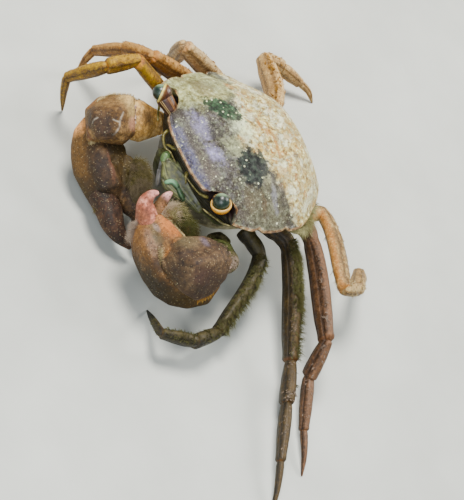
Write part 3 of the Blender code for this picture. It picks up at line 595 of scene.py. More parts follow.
def shellPaint():
    skin = Skin("shell skin", coat=0.06, specular=0.4)
    x, y = skin.axis(0), skin.axis(1)
    cloud = skin.noise(0.32, 4.0, 0.6)
    fine = skin.noise(1.6, 4.0, 0.65)
    grit = skin.noise(5.0, 3.0, 0.7)
    # purple-brown front half and sandy rear half
    halves, veils = {}, {}
    for half, layers in marbling.items():
        skin.base = skin.ramp(fine, *shellStops[half])
        veils[half] = [skin.cloudy(values, low, high) for values, low, high, _, _ in layers]
        for veil, (_, _, _, strength, colour) in zip(veils[half], layers):
            skin.lay(veil, strength, colour)
        halves[half] = skin.base
    chalky = veils["rear"][1]
    sideways = skin.sums("ABSOLUTE", skin.sums("SUBTRACT", x, 0.4))
    border = skin.blend(
        (y, 1), (sideways, -0.52), (skin.sums("SUBTRACT", cloud, 0.5), 5.0),
        (skin.sums("SUBTRACT", fine, 0.5), 3.5)
    )
    isRear = skin.between(border, -4.4, -3.0)
    skin.base = skin.mix(isRear, halves["front"], halves["rear"])
    shoulder = skin.spot((-9.4, -4.2, 0.5), (4.6, 5.2, 4.0), 0.25, 0.35)
    skin.lay(shoulder, 0.85, skin.ramp(fine, *shellStops["shoulder"]))
    flank = skin.spot((9.6, -2.8, 0.3), (3.2, 3.6, 4.0), 0.35, 0.5)
    skin.lay(flank, 0.6, skin.ramp(fine, *shellStops["flank"]))
    # marks of colour, among them painted highlights and painted shade on the front lobes
    for centre, radii, colour, strength in shellMarksAndPaintedLight:
        mark = skin.spot(centre, radii, 0.5, 1.3, 0.9)
        skin.lay(skin.times(mark, skin.between(fine, 0.4, 0.5, 0.45, 1.0)), strength, colour)
    # orange line in the groove across the back
    for centre, radii in orangeLine:
        skin.lay(skin.spot(centre, radii, 0.6, 0.6, 1.2), 0.8, (180, 132, 66))
    # grains
    pale = skin.specks(1.5, 0.5, 0.24)
    small = skin.specks(2.3, 0.42, 0.24)
    skin.lay(skin.specks(2.6, 0.2, 0.34), 0.18, (64, 50, 36))
    skin.lay(skin.specks(3.4, 0.42, 0.3), skin.between(isRear, 0.0, 1.0, 0.08, 0.32), (214, 210, 180))
    crust = skin.times(
        skin.cloudy((2.2, 6.0, 0.75, 0.6), 0.5, 0.57), skin.cloudy((0.5, 3.0, 0.6), 0.46, 0.58)
    )
    skin.lay(crust, skin.between(isRear, 0.0, 1.0, 0.22, 0.5), (220, 218, 190))
    # painted highlights: pale glints on the raised grit
    skin.lay(skin.between(grit, 0.5, 0.62), 0.1, (236, 232, 210))
    skin.lay(skin.between(grit, 0.48, 0.38), 0.16, (72, 60, 44))
    # the two dark patches, drawn on axes turned to their slant
    for centre, turn, radii, colours in darkPatches:
        slant = skin.wire("Mapping", {0: skin.point, 1: tuple(-c for c in centre)}).outputs[0]
        inputs = {"Vector": slant, "Angle": -turn}
        slant = skin.wire("VectorRotate", inputs, rotation_type="Z_AXIS").outputs[0]
        patch = skin.spot((0, 0, 0), radii, 0.08, 0.85, 1.2, slant)
        skin.lay(patch, 0.92, skin.ramp(fine, *zip((0.36, 0.5, 0.64), colours)))
    clumps = skin.cloudy((0.6, 3.0, 0.6), 0.44, 0.54, 0.25, 1.0)
    grains = skin.times(skin.sums("MAXIMUM", pale, skin.times(small, 0.5)), clumps)
    frontOnly = skin.sums("SUBTRACT", 1.0, skin.times(isRear, 0.7))
    skin.lay(grains, skin.times(frontOnly, 0.92), (236, 234, 206))
    skin.mottle(1.0, 0.28)
    # rim and wall below it
    edge = skin.attribute("edge")
    rim = skin.times(skin.between(edge, 0.982, 0.991), skin.between(edge, 1.03, 1.08, 1.0, 0.0))
    skin.lay(rim, 0.75, skin.ramp(fine, *shellStops["rim"]))
    inputs = {"Vector": skin.point, "Scale": 0.55, "Distortion": 3.0, "Detail": 2.0}
    lines = skin.wire("TexWave", inputs, bands_direction="Z").outputs[1]
    under = skin.between(edge, 1.08, 1.2)
    skin.base = skin.mix(under, skin.base, skin.ramp(lines, *shellStops["wall"]))
    # painted shade inside the eye sockets, where the shell is pressed in
    pit = skin.between(skin.attribute("pit"), 0.05, 0.5)
    skin.base = skin.mix(pit, skin.base, skin.ramp(fine, *shellStops["pit"]))
    height = skin.blend(
        (grains, 0.6), (grit, 0.9), (fine, 1.2), (skin.sums("ADD", crust, chalky), 0.4),
        (skin.times(lines, under), 1)
    )
    return skin.done(height, 0.2, fine, (0.3, 0.8, 0.42, 0.72))


shellBm = shellMesh()
shellTree = treeOf(shellBm)
addPiece("backShell", shellBm, shellPaint(), ["carapace"])
print("shell done")

# underside
belly = {
    "levels": [
        (-5.0, 0.99), (-5.8, 1.0), (-6.8, 1.0), (-7.5, 0.965), (-8.1, 0.92), (-8.6, 0.85), (-9.0, 0.75),
        (-9.2, 0.68), (-9.3, 0.6), (-9.3, 0.3), (-9.3, 0.02),
    ],
    "halfWidth": 8.4, "front": -8.9, "rear": 9.6, "power": 3.0, "seams": (-3.4, 0.6, 4.5, 7.5),
}
flap = {
    "path": [
        (0, 9.3, -3.6), (0, 10.2, -5.8), (0, 10.2, -8.2), (0, 9.0, -9.8), (0, 5.5, -9.95),
        (0, -2.6, -9.95),
    ],
    "sizes": [
        (0.0, 0.3, 3.8), (0.12, 0.34, 3.6), (0.24, 0.36, 3.2), (0.34, 0.36, 2.8), (0.46, 0.36, 2.4),
        (0.62, 0.36, 1.9), (0.8, 0.34, 1.3), (0.94, 0.32, 0.9), (1.0, 0.28, 0.6),
    ],
    "folds": (0.12, 0.24, 0.36, 0.5, 0.66, 0.84),
}


def bellyMesh():
    levels = belly["levels"]
    bm = makeTube(96, len(levels))
    for vert in bm.verts:
        level, scale = levels[round(vert.co.z * (len(levels) - 1))]
        if math.hypot(vert.co.x, vert.co.y) < 0.5:
            scale = 0.0
        angle = math.atan2(vert.co.y, vert.co.x)
        c, s = math.cos(angle), math.sin(angle)
        reach = (belly["rear"] - belly["front"]) / 2
        x = math.copysign(abs(c) ** (2 / belly["power"]), c) * belly["halfWidth"] * scale
        y = math.copysign(abs(s) ** (2 / belly["power"]), s) * reach * (0.5 + scale / 2 if scale else 0)
        y += (belly["rear"] + belly["front"]) / 2
        vert.co = (x, y, level)
    long = [edge for edge in bm.edges if edge.calc_length() > 1.6]
    bmesh.ops.subdivide_edges(bm, edges=long, cuts=3, use_grid_fill=True)
    for vert in bm.verts:
        x, y, z = vert.co
        if z < -5.6:
            dip = sum(
                math.exp(-((y - seam - 0.12 * abs(x) * (1 if seam > 2 else -1)) / 0.22) ** 2)
                for seam in belly["seams"]
            )
            vert.co.z += 0.22 * dip * min(1.0, (-5.6 - z) / 1.5)
    return bm


def palePaint(name, dark, mid, light, depth=0.06, scale=1.0):
    skin = Skin(name, coat=0.1)
    fine = skin.noise(1.8 * scale, 4.0, 0.65)
    skin.base = skin.ramp(fine, (0.28, dark), (0.5, mid), (0.74, light))
    if name == "underside skin":   # darker towards the mouth
        # partly the underside's own dark olive near the mouth, partly painted shade under the front of
        # the shell
        ahead = skin.between(skin.blend((skin.axis(1), 1), (fine, 2.0)), -3.5, -6.5)
        skin.lay(
            ahead, 0.9, skin.ramp(fine, (0.3, (40, 38, 22)), (0.55, (66, 62, 38)), (0.75, (96, 90, 60)))
        )
    skin.lay(skin.cloudy((0.5 * scale, 3.0, 0.6), 0.52, 0.7), 0.45, dark)
    grains = skin.specks(3.2 * scale, 0.3, 0.2)
    skin.lay(grains, 0.35, light)
    return skin.done(skin.blend((fine, 1), (grains, 0.5)), depth, fine, (0.3, 0.75, 0.32, 0.6))


undersidePaint = palePaint("underside skin", (142, 128, 98), (198, 184, 152), (224, 214, 190))
addPiece("breastSkin", bellyMesh(), undersidePaint, ["breast_plate"])
flapPlan = planLimb(flap["path"], flap["sizes"], (0, 1, 0), power=2.5, ends=(0.0, 0.03), softness=2)
for name, depth in (("half", 0.3), ("height", 0.05)):
    for fold in flap["folds"]:
        flapPlan[name] *= 1 - depth * np.exp(-((flapPlan["at"] - fold) / 0.008) ** 2)
limbPiece("tailSkin", flapPlan, 32, 110, undersidePaint, ["tail_flap"])
print("underside done")

# walking legs
legs = {
    "roots": {"2": -1.5, "3": 2.6, "4": 6.4, "5": 8.7},
    "rootX": 8.55,
    "rootZ": -6.8,
    "left_leg_2": (
        (12.9, -0.6, -7.8), (20.2, -9.8, -10.9), (21.0, -14.6, -9.8), (19.0, -19.0, -9.6),
        (13.9, -16.0, -14.0),
    ),
    "left_leg_3": (
        (12.2, 4.3, -6.9), (26.6, -1.5, -10.3), (31.6, -4.8, -10.9), (38.3, -9.2, -11.8),
        (43.8, -12.6, -14.0),
    ),
    "left_leg_4": (
        (11.2, 8.4, -6.5), (26.4, 2.2, -6.5), (29.0, 0.5, -10.8), (35.2, -2.9, -12.5),
        (40.3, -5.3, -14.0),
    ),
    "left_leg_5": (
        (9.2, 12.2, -6.2), (20.7, 8.0, -5.0), (20.2, 12.2, -7.2), (16.7, 16.8, -9.8), (17.4, 20.2, -14.0),
    ),
    "right_leg_2": (
        (-10.8, -1.4, -7.6), (-13.8, -11.6, 0.9), (-13.9, -15.9, 0.0), (-17.0, -17.0, -6.6),
        (-16.5, -14.2, -14.0),
    ),
    "right_leg_3": (
        (-12.2, 2.5, -6.4), (-15.0, -7.9, -0.4), (-18.5, -8.6, -3.6), (-21.8, -9.3, -8.4),
        (-21.6, -9.4, -14.0),
    ),
    "right_leg_4": (
        (-11.6, 6.9, -6.4), (-16.5, -1.2, -1.1), (-17.6, 0.4, -5.0), (-18.8, 2.1, -9.8),
        (-19.4, 3.1, -14.0),
    ),
    "right_leg_5": (
        (-8.2, 13.3, -6.0), (-17.9, 18.7, -8.4), (-16.9, 22.4, -9.9), (-14.8, 26.2, -11.6),
        (-12.6, 29.0, -14.0),
    ),
}
legLook = {   # dark, middle and light of the skin, colour of the rims and lower band
    # left legs 2 to 4 are partly their own dark colour and partly painted shade: darkened part way for
    # the dim light they lie in
    "left_leg_2": ((36, 32, 18), (64, 56, 32), (98, 88, 54), (100, 76, 44)),
    "left_leg_3": ((38, 32, 18), (70, 58, 34), (110, 92, 62), (128, 86, 48)),
    "left_leg_4": ((54, 40, 26), (94, 70, 48), (142, 112, 90), (132, 92, 56)),
    "left_leg_5": ((92, 68, 46), (154, 126, 90), (202, 182, 146), (188, 136, 84)),
    "right_leg_2": ((74, 52, 24), (138, 106, 44), (190, 158, 66), (176, 118, 54)),
    "right_leg_3": ((104, 74, 42), (154, 114, 70), (192, 158, 112), (176, 126, 76)),
    "right_leg_4": ((118, 94, 68), (170, 142, 108), (208, 186, 152), (184, 140, 96)),
    "right_leg_5": ((118, 90, 62), (172, 142, 104), (212, 188, 150), (196, 134, 80)),
}

legParts = {   # along each part: place, half thickness, half height
    "merus": {
        "rings": 72, "keel": 0.06, "groove": 0.05, "ends": (0.02, 0.035), "softness": 2,
        "steps": [
            (0.0, 1.15, 1.25), (0.07, 1.2, 1.3), (0.095, 0.95, 1.05), (0.12, 1.1, 1.25), (0.2, 1.0, 1.15),
            (0.225, 0.86, 1.0), (0.25, 0.98, 1.2), (0.42, 0.98, 1.42), (0.62, 0.98, 1.52),
            (0.82, 0.96, 1.42), (0.93, 0.88, 1.15), (0.965, 0.97, 1.2), (1.0, 0.95, 1.15),
        ],
    },
    "carpus": {
        "rings": 30, "keel": 0.06, "groove": 0.09, "ends": (0.06, 0.07), "softness": 3,
        "steps": [
            (0.0, 0.62, 0.75), (0.15, 0.78, 0.9), (0.4, 0.9, 1.12), (0.75, 0.94, 1.22),
            (0.92, 0.92, 1.18), (1.0, 0.84, 1.05),
        ],
    },
    "propodus": {
        "rings": 34, "keel": 0.05, "groove": 0.1, "ends": (0.05, 0.06), "softness": 3,
        "steps": [
            (0.0, 0.5, 0.6), (0.1, 0.72, 0.88), (0.3, 0.78, 1.04), (0.6, 0.74, 0.98), (0.88, 0.62, 0.78),
            (0.95, 0.64, 0.8), (1.0, 0.55, 0.7),
        ],
    },
    "dactylus": {
        "rings": 30, "keel": 0.04, "groove": 0.12, "ends": (0.06, 0.01), "softness": 2,
        "steps": [
            (0.0, 0.38, 0.45), (0.12, 0.48, 0.58), (0.35, 0.42, 0.52), (0.7, 0.3, 0.36), (0.9, 0.17, 0.2),
            (1.0, 0.1, 0.1),
        ],
    },
}


def legPaint(name, look):
    dark, mid, light, rimTone = look
    skin = Skin(name + " skin", coat=0.05, specular=0.35)
    along, upward = skin.attribute("along"), skin.attribute("upward")
    fine = skin.noise(2.0, 4.0, 0.65)
    blotch = skin.noise(0.7, 3.0, 0.6)
    skin.base = skin.ramp(skin.blend((fine, 0.6), (blotch, 0.4)), (0.3, dark), (0.5, mid), (0.68, light))
    # dark lengthwise furrows beside pale ridges
    waver = skin.times(skin.sums("SUBTRACT", fine, 0.5), 0.35)
    level = skin.sums("ADD", upward, waver)
    lift = skin.sums("ABSOLUTE", level)
    furrow = skin.times(skin.between(lift, 0.22, 0.4), skin.between(lift, 0.5, 0.7, 1.0, 0.0))
    skin.lay(furrow, 0.65, dark)
    skin.lay(skin.between(level, 0.82, 0.97), 0.5, light)
    skin.lay(skin.between(level, -0.98, -0.75, 1.0, 0.0), 0.5, rimTone)
    collar = skin.between(skin.blend((along, 1), (waver, 0.1)), 0.965, 0.985)
    skin.lay(collar, 0.5, rimTone)
    grit = skin.noise(5.5, 3.0, 0.7)
    skin.lay(skin.between(grit, 0.52, 0.66), 0.4, light)
    skin.lay(skin.between(grit, 0.46, 0.34), 0.4, dark)
    skin.mottle(2.6, 0.4)
    grains = skin.specks(3.4, 0.32, 0.22)
    skin.lay(grains, 0.5, light)
    skin.lay(skin.specks(2.7, 0.2, 0.25), 0.5, dark)
    height = skin.blend((fine, 1.2), (grains, 0.5), (grit, 0.8), (furrow, -0.8))
    return skin.done(height, 0.1, fine, (0.3, 0.75, 0.48, 0.72))


plans = {}


def past(start, end, reach):
    # a place beyond the end on the way from the start
    return end + (end - start).normalized() * reach


def buildLeg(name):
    hip, knee, wrist, ankle, tip = vectors(legs[name])
    sign = 1 if name.startswith("left") else -1
    root = Vector((legs["rootX"] * sign, legs["roots"][name[-1]], legs["rootZ"]))
    heading = Vector((tip.x - root.x, tip.y - root.y, 0)).normalized()
    thin = Vector((0, 0, 1)).cross(heading)
    bow = ankle.lerp(tip, 0.5) + Vector((0, 0, 0.35)) + heading * 0.25
    paths = {
        "merus": [root, hip, past(hip, knee, 0.15)],
        "carpus": [past(wrist, knee, 0.45), past(knee, wrist, 0.1)],
        "propodus": [past(ankle, wrist, 0.4), past(wrist, ankle, 0.1)],
        "dactylus": [past(tip, ankle, 0.3), bow, tip + Vector((0, 0, 0.08))],
    }
    paint = legPaint(name, legLook[name])
    for part, form in legParts.items():
        key = name + "_" + part
        thinNow = Vector((0, 0, 1)).cross(knee - hip) if part == "merus" else thin
        plans[key] = planLimb(
            paths[part], form["steps"], thinNow, keel=form["keel"], groove=form["groove"],
            ends=form["ends"], softness=form["softness"]
        )
        spread = "".join(word.title() for word in key.split("_"))
        limbPiece("skin" + spread, plans[key], 28, form["rings"], paint, [key])


for legName in legLook:
    buildLeg(legName)
print("legs done")

# claws
claws = {
    "left": {
        "arm": [(8.55, -5.4, -6.8), (10.2, -6.6, -7.2), (13.9, -9.8, -5.1)],
        "armThin": (0.3, -0.65, 0.7),
        "wristPasses": 18,
        "wrist": [
            ((12.04, -18.13, -4.83), 0.45), ((12.81, -17.65, -5.02), 0.5), ((10.6, -15.76, -2.78), 0.8),
            ((11.84, -13.32, -1.68), 1.0), ((13.41, -11.75, -1.23), 1.0), ((14.58, -11.39, -1.56), 0.9),
            ((15.85, -12.29, -2.78), 1.0), ((16.62, -13.77, -4.17), 1.0), ((16.81, -14.99, -4.93), 0.8),
            ((15.64, -16.17, -5.06), 0.7), ((14.49, -16.41, -1.1), 1.0), ((13.0, -16.9, -2.02), 1.1),
            ((14.75, -14.75, -0.7), 1.1), ((15.81, -16.04, -2.61), 1.2), ((13.95, -17.15, -3.23), 0.8),
            ((12.42, -12.66, -5.3), 1.5), ((14.44, -12.22, -5.22), 1.2),
        ],
        "wristLines": [
            (
                [(11.2, -17.9, -3.9), (13.4, -18.1, -4.4), (15.6, -16.9, -4.8), (17.0, -15.2, -4.6)], 0.3,
                -0.22,
            ),
            ([(10.2, -16.3, -2.4), (11.2, -17.6, -3.4)], 0.3, -0.2),
            ([(12.6, -14.6, 0.0), (13.4, -16.6, -0.9), (14.6, -17.8, -2.2)], 0.8, 0.12),
        ],
        "palm": [
            ((6.33, -17.94, -5.85), 0.7), ((7.34, -18.38, -6.69), 0.8), ((9.34, -18.33, -7.51), 1.0),
            ((11.65, -17.92, -8.15), 1.0), ((13.78, -17.22, -8.45), 1.0), ((15.31, -16.16, -8.16), 1.0),
            ((16.3, -14.57, -7.73), 1.0), ((16.78, -12.68, -6.8), 0.9), ((15.83, -11.25, -5.66), 0.8),
            ((6.24, -16.07, -4.13), 0.6), ((7.35, -15.5, -3.8), 0.7), ((9.02, -14.94, -3.89), 0.8),
            ((7.87, -18.36, -4.64), 0.8), ((10.04, -18.67, -5.01), 1.2), ((12.84, -17.74, -5.68), 1.3),
            ((15.09, -15.65, -6.2), 1.3), ((8.79, -14.8, -7.78), 1.4), ((13.53, -12.42, -7.98), 1.4),
            ((9.76, -16.05, -3.38), 1.0),
        ],
        "axis": (-1.0, -0.1, 0.14),
        "up": (0.0, -0.7, 0.71),
        "lobes": [((8.45, -15.55, -4.0), (1.7, 1.0, 0.1), (2.3, 1.0, 0.8))],
        "palmLines": [
            (
                [(6.6, -17.4, -3.9), (8.4, -17.9, -3.6), (10.0, -18.3, -3.6), (11.6, -18.4, -4.4)], 0.7,
                0.22,
            ),
            ([(5.6, -19.0, -5.6), (5.9, -17.6, -4.2), (6.3, -15.8, -3.5)], 0.28, -0.2),
        ],
        "finger": [
            (6.5, -16.5, -5.9), (5.1, -16.95, -4.5), (3.95, -16.85, -3.8), (3.45, -16.35, -3.2),
            (3.35, -15.7, -2.8), (3.5, -15.2, -2.65),
        ],
        "fingerSteps": [
            (0.0, 1.45, 1.65), (0.25, 1.45, 1.62), (0.5, 1.2, 1.35), (0.7, 0.85, 0.95), (0.88, 0.5, 0.55),
            (1.0, 0.24, 0.26),
        ],
        "low": [
            (7.0, -15.4, -7.6), (5.1, -14.6, -6.0), (3.9, -13.8, -4.4), (3.55, -13.2, -3.5),
            (3.5, -12.7, -3.0),
        ],
        "pads": [
            ((6.0, -12.7, -5.3), (1.8, 1.6, 2.1)), ((6.3, -18.2, -6.1), (0.4, 0.4, 0.4)),
            ((7.9, -11.5, -5.6), (1.4, 1.2, 1.6)),
        ],
        "padAxes": ((0.848, -0.153, -0.5075), (0.308, -0.637, 0.707)),
        "comb": (0.55, 0.35, 0.1),
        "brushBack": -3.5,
    },
    "right": {
        "arm": [(-8.55, -5.4, -6.8), (-8.8, -8.0, -6.5), (-8.7, -12.4, -4.8)],
        "armThin": (0.35, -0.65, 0.67),
        "wristPasses": 12,
        "wrist": [
            ((-10.68, -17.56, -4.9), 0.55), ((-7.47, -18.24, -6.35), 0.5), ((-10.97, -15.83, -4.06), 1.0),
            ((-10.44, -15.08, -2.77), 0.8), ((-9.52, -13.67, -1.9), 0.9), ((-6.25, -14.15, -3.76), 0.8),
            ((-5.54, -15.28, -4.52), 0.5), ((-8.75, -18.1, -3.11), 1.0), ((-6.91, -18.48, -4.12), 0.6),
            ((-8.01, -16.1, -1.49), 1.0), ((-6.07, -16.65, -2.55), 0.7), ((-10.99, -15.64, -6.15), 1.0),
            ((-8.71, -16.04, -7.51), 1.0), ((-10.1, -12.82, -4.0), 1.0), ((-7.61, -13.27, -5.48), 1.0),
        ],
        "wristLines": [
            (
                [
                    (-7.46, -16.14, -0.78), (-6.88, -16.56, -1.42), (-6.08, -16.84, -2.01),
                    (-5.44, -17.56, -2.94),
                ],
                0.1, 0.05,
            ),
            ([(-7.23, -17.18, -1.82), (-6.67, -16.71, -1.64)], 0.09, 0.04),
            ([(-8.27, -18.6, -2.64), (-8.25, -18.97, -2.99), (-8.08, -19.59, -3.62)], 0.08, 0.04),
            (
                [(-8.2, -19.2, -5.2), (-6.6, -18.7, -4.6), (-5.2, -16.9, -3.4), (-5.2, -15.4, -3.6)], 0.3,
                -0.2,
            ),
        ],
        "palm": [
            ((-10.02, -16.89, -6.77), 1.0), ((-9.19, -17.73, -7.88), 1.2), ((-8.01, -18.15, -8.78), 1.25),
            ((-6.71, -18.39, -9.56), 1.25), ((-5.12, -18.51, -10.37), 1.15),
            ((-3.55, -18.27, -10.83), 1.0), ((-2.04, -17.9, -11.16), 1.0), ((-0.9, -17.15, -10.98), 1.1),
            ((-0.56, -15.73, -9.85), 0.8), ((-1.82, -15.03, -8.66), 0.9), ((-3.76, -14.68, -7.5), 0.9),
            ((-5.52, -14.63, -6.69), 1.0), ((-4.11, -18.19, -7.26), 1.0), ((-5.8, -17.41, -6.53), 1.2),
            ((-1.8, -17.77, -8.45), 1.0), ((-4.36, -17.93, -6.07), 0.4), ((-2.4, -17.13, -6.48), 0.4),
            ((-1.15, -16.57, -7.24), 0.4), ((-7.88, -15.2, -10.14), 1.4), ((-3.55, -15.75, -11.67), 1.2),
            ((-5.22, -13.96, -9.9), 1.2),
        ],
        "axis": (0.93, 0.05, -0.36),
        "up": (0.11, -0.93, 0.36),
        "lobes": [
            ((-2.0, -14.3, -7.7), (0.85, -0.15, -0.5), (2.8, 1.3, 1.3)),
            ((0.9, -14.3, -9.3), (0.85, -0.1, -0.5), (1.9, 1.5, 1.3)),
        ],
        "palmLines": [
            ([(-5.6, -19.6, -7.6), (-3.2, -19.5, -8.4), (-1.2, -19.0, -9.4)], 0.7, 0.2),
            ([(-3.6, -16.6, -5.7), (-1.9, -15.7, -6.9), (-0.6, -15.2, -8.2)], 0.6, 0.3),
        ],
        "finger": [
            (-1.6, -17.3, -10.6), (0.8, -17.5, -10.2), (3.0, -17.6, -10.5), (4.6, -16.9, -11.1),
            (5.95, -15.6, -12.0),
        ],
        "fingerSteps": [
            (0.0, 1.75, 1.95), (0.3, 1.7, 1.9), (0.5, 1.5, 1.65), (0.72, 1.05, 1.15), (0.9, 0.5, 0.55),
            (1.0, 0.2, 0.22),
        ],
        "low": [(-2.5, -14.8, -9.0), (0.2, -13.9, -8.7), (2.6, -13.9, -9.9), (5.6, -14.5, -12.2)],
        "pads": [((-1.05, -13.8, -6.9), (2.5, 1.45, 1.5)), ((0.4, -18.9, -10.4), (0.5, 0.4, 0.5))],
        "padAxes": ((0.848, -0.153, -0.5075), (0.308, -0.637, 0.707)),
        "comb": (0.6, 0.2, -0.2),
        "brushBack": -0.9,
    },
}

def clawPaint(name, dark, mid, light, marks):
    skin = Skin(name, specular=0.3)
    fine = skin.noise(1.5, 6.0, 0.7)
    cloud = skin.noise(0.35, 4.0, 0.65)
    skin.base = skin.ramp(skin.blend((fine, 0.5), (cloud, 0.5)), (0.37, dark), (0.5, mid), (0.63, light))
    for centre, radii, colour, strength in marks:
        skin.lay(skin.spot(centre, radii, 0.45, 0.35), strength, colour)
    skin.mottle(2.2, 0.5)
    peppered = skin.specks(3.3, 0.5, 0.36)
    skin.lay(peppered, 0.5, dark)
    tiny = skin.specks(3.9, 0.5, 0.3)
    skin.lay(tiny, 0.42, skin.mix(0.4, skin.base, (226, 208, 176)))
    dots = skin.specks(2.2, 0.24, 0.17)
    clumps = skin.cloudy((0.5, 3.0, 0.6), 0.46, 0.56)
    skin.lay(skin.times(dots, clumps), 0.42 if "Wrist" in name else 0.12, (226, 214, 184))
    crease = skin.times(skin.attribute("crease"), skin.between(fine, 0.42, 0.5, 0.4, 1.0))
    skin.lay(crease, 0.6, (190, 180, 170))
    height = skin.blend((fine, 1.1), (dots, 0.7), (skin.sums("SUBTRACT", tiny, peppered), 0.35))
    return skin.done(height, 0.14, fine, (0.4, 0.6, 0.58, 0.76))


orange, lilacGrey = (172, 124, 82), (140, 128, 126)
clawLook = {   # dark, middle and light of the skin, then marks: place, half sizes, colour, strength
    "leftPalm": (
        (76, 58, 40), (126, 98, 70), (166, 134, 104),
        [
            ((9.6, -18.6, -3.9), (3.0, 0.8, 1.2), lilacGrey, 0.3),
            ((6.4, -19.4, -5.8), (3.6, 1.6, 2.6), (142, 106, 70), 0.5),
            ((7.6, -15.6, -2.9), (2.4, 1.5, 1.4), (184, 128, 88), 0.75),
            ((14.0, -18.2, -8.8), (6.6, 3.4, 3.8), (60, 50, 24), 0.95),
            ((5.0, -14.0, -5.0), (1.6, 1.4, 1.6), (140, 112, 90), 0.6),
            ((3.5, -12.7, -3.2), (1.0, 1.3, 1.0), (220, 176, 172), 0.9),
            ((11.9, -18.6, -4.6), (0.9, 0.8, 1.0), (72, 56, 42), 0.7),
            ((6.6, -14.5, -3.3), (2.2, 0.8, 1.0), (206, 148, 126), 0.6),
            ((7.4, -17.3, -3.9), (1.3, 0.7, 0.8), (116, 104, 82), 0.65),
            ((9.0, -17.8, -3.7), (1.3, 0.6, 0.7), (112, 102, 82), 0.65),
            ((7.9, -17.2, -3.7), (1.0, 0.3, 0.5), (156, 146, 150), 0.35),
            ((17.2, -14.4, -7.0), (3.2, 3.2, 2.2), (82, 68, 36), 0.85),
        ],
    ),
    "leftFinger": (
        (110, 70, 58), (164, 112, 96), (206, 156, 142),
        [
            ((5.4, -17.9, -4.6), (1.2, 1.4, 1.2), (142, 104, 82), 0.6),
            ((3.4, -15.4, -2.6), (0.9, 1.2, 0.8), (210, 162, 156), 0.8),
        ],
    ),
    "leftWrist": (
        (66, 52, 44), (98, 80, 64), (130, 110, 90),
        [
            ((12.5, -13.8, -0.9), (1.3, 0.5, 0.6), (134, 124, 140), 0.4),
            ((15.8, -15.6, -1.6), (2.4, 1.6, 1.4), (92, 72, 68), 0.55),
            ((10.9, -17.6, -3.7), (0.7, 1.2, 0.8), orange, 0.6),
            ((17.0, -13.4, -3.4), (2.0, 3.2, 2.2), (80, 64, 54), 0.7),
            ((14.2, -18.4, -4.8), (3.4, 1.1, 0.8), (82, 64, 38), 0.8),
            ((11.4, -15.4, -1.8), (1.5, 1.5, 1.3), (126, 114, 92), 0.5),
            ((10.3, -15.9, -2.4), (0.4, 1.2, 0.4), orange, 0.35),
        ],
    ),
    "leftArm": (
        (58, 54, 34), (92, 86, 58), (130, 120, 92),
        [((13.8, -9.4, -4.0), (1.6, 1.2, 1.4), (146, 116, 100), 0.6)],
    ),
    "rightPalm": (
        (48, 40, 32), (82, 66, 50), (118, 96, 74),
        [
            ((-8.6, -19.2, -9.4), (5.5, 1.9, 3.2), (124, 98, 66), 0.8),
            ((-10.6, -17.9, -7.2), (1.7, 2.2, 3.0), (214, 166, 124), 0.85),
            ((-1.1, -13.9, -6.6), (2.7, 1.6, 1.7), (84, 76, 42), 0.95),
            ((-3.6, -15.2, -6.0), (2.6, 1.9, 1.5), (84, 70, 40), 0.75),
            ((-3.4, -18.5, -6.8), (3.0, 1.3, 1.6), (72, 60, 56), 0.6),
            ((-2.6, -17.3, -6.0), (2.3, 0.3, 1.4), (132, 98, 84), 0.45),
            ((0.4, -14.2, -8.4), (1.8, 1.0, 1.0), (104, 90, 88), 0.7),
            ((-4.0, -19.6, -11.4), (4.0, 1.2, 1.2), (92, 76, 46), 0.7),
        ],
    ),
    "rightFinger": (
        (44, 36, 30), (76, 58, 48), (110, 86, 70),
        [((1.0, -19.4, -11.0), (3.0, 0.9, 1.2), (104, 80, 60), 0.6)],
    ),
    "rightWrist": (
        (70, 54, 38), (116, 92, 66), (156, 130, 98),
        [
            ((-9.2, -13.4, -1.0), (3.2, 1.8, 1.3), (196, 172, 132), 0.75),
            ((-8.0, -19.2, -5.4), (2.8, 0.8, 0.6), (112, 70, 52), 0.7),
            ((-7.8, -18.2, -3.4), (2.6, 1.5, 1.5), (80, 66, 60), 0.75),
            ((-11.2, -17.0, -4.4), (0.7, 1.6, 1.6), (160, 116, 76), 0.6),
            ((-6.6, -14.0, -2.4), (0.8, 1.2, 1.0), (190, 150, 130), 0.6),
        ],
    ),
    "rightArm": (
        (128, 100, 62), (188, 154, 108), (224, 198, 158),
        [
            ((-8.0, -9.6, -3.6), (1.4, 1.6, 1.3), (128, 108, 96), 0.4),
            ((-8.4, -11.8, -5.8), (1.4, 1.2, 1.2), (118, 104, 66), 0.6),
        ],
    ),
}


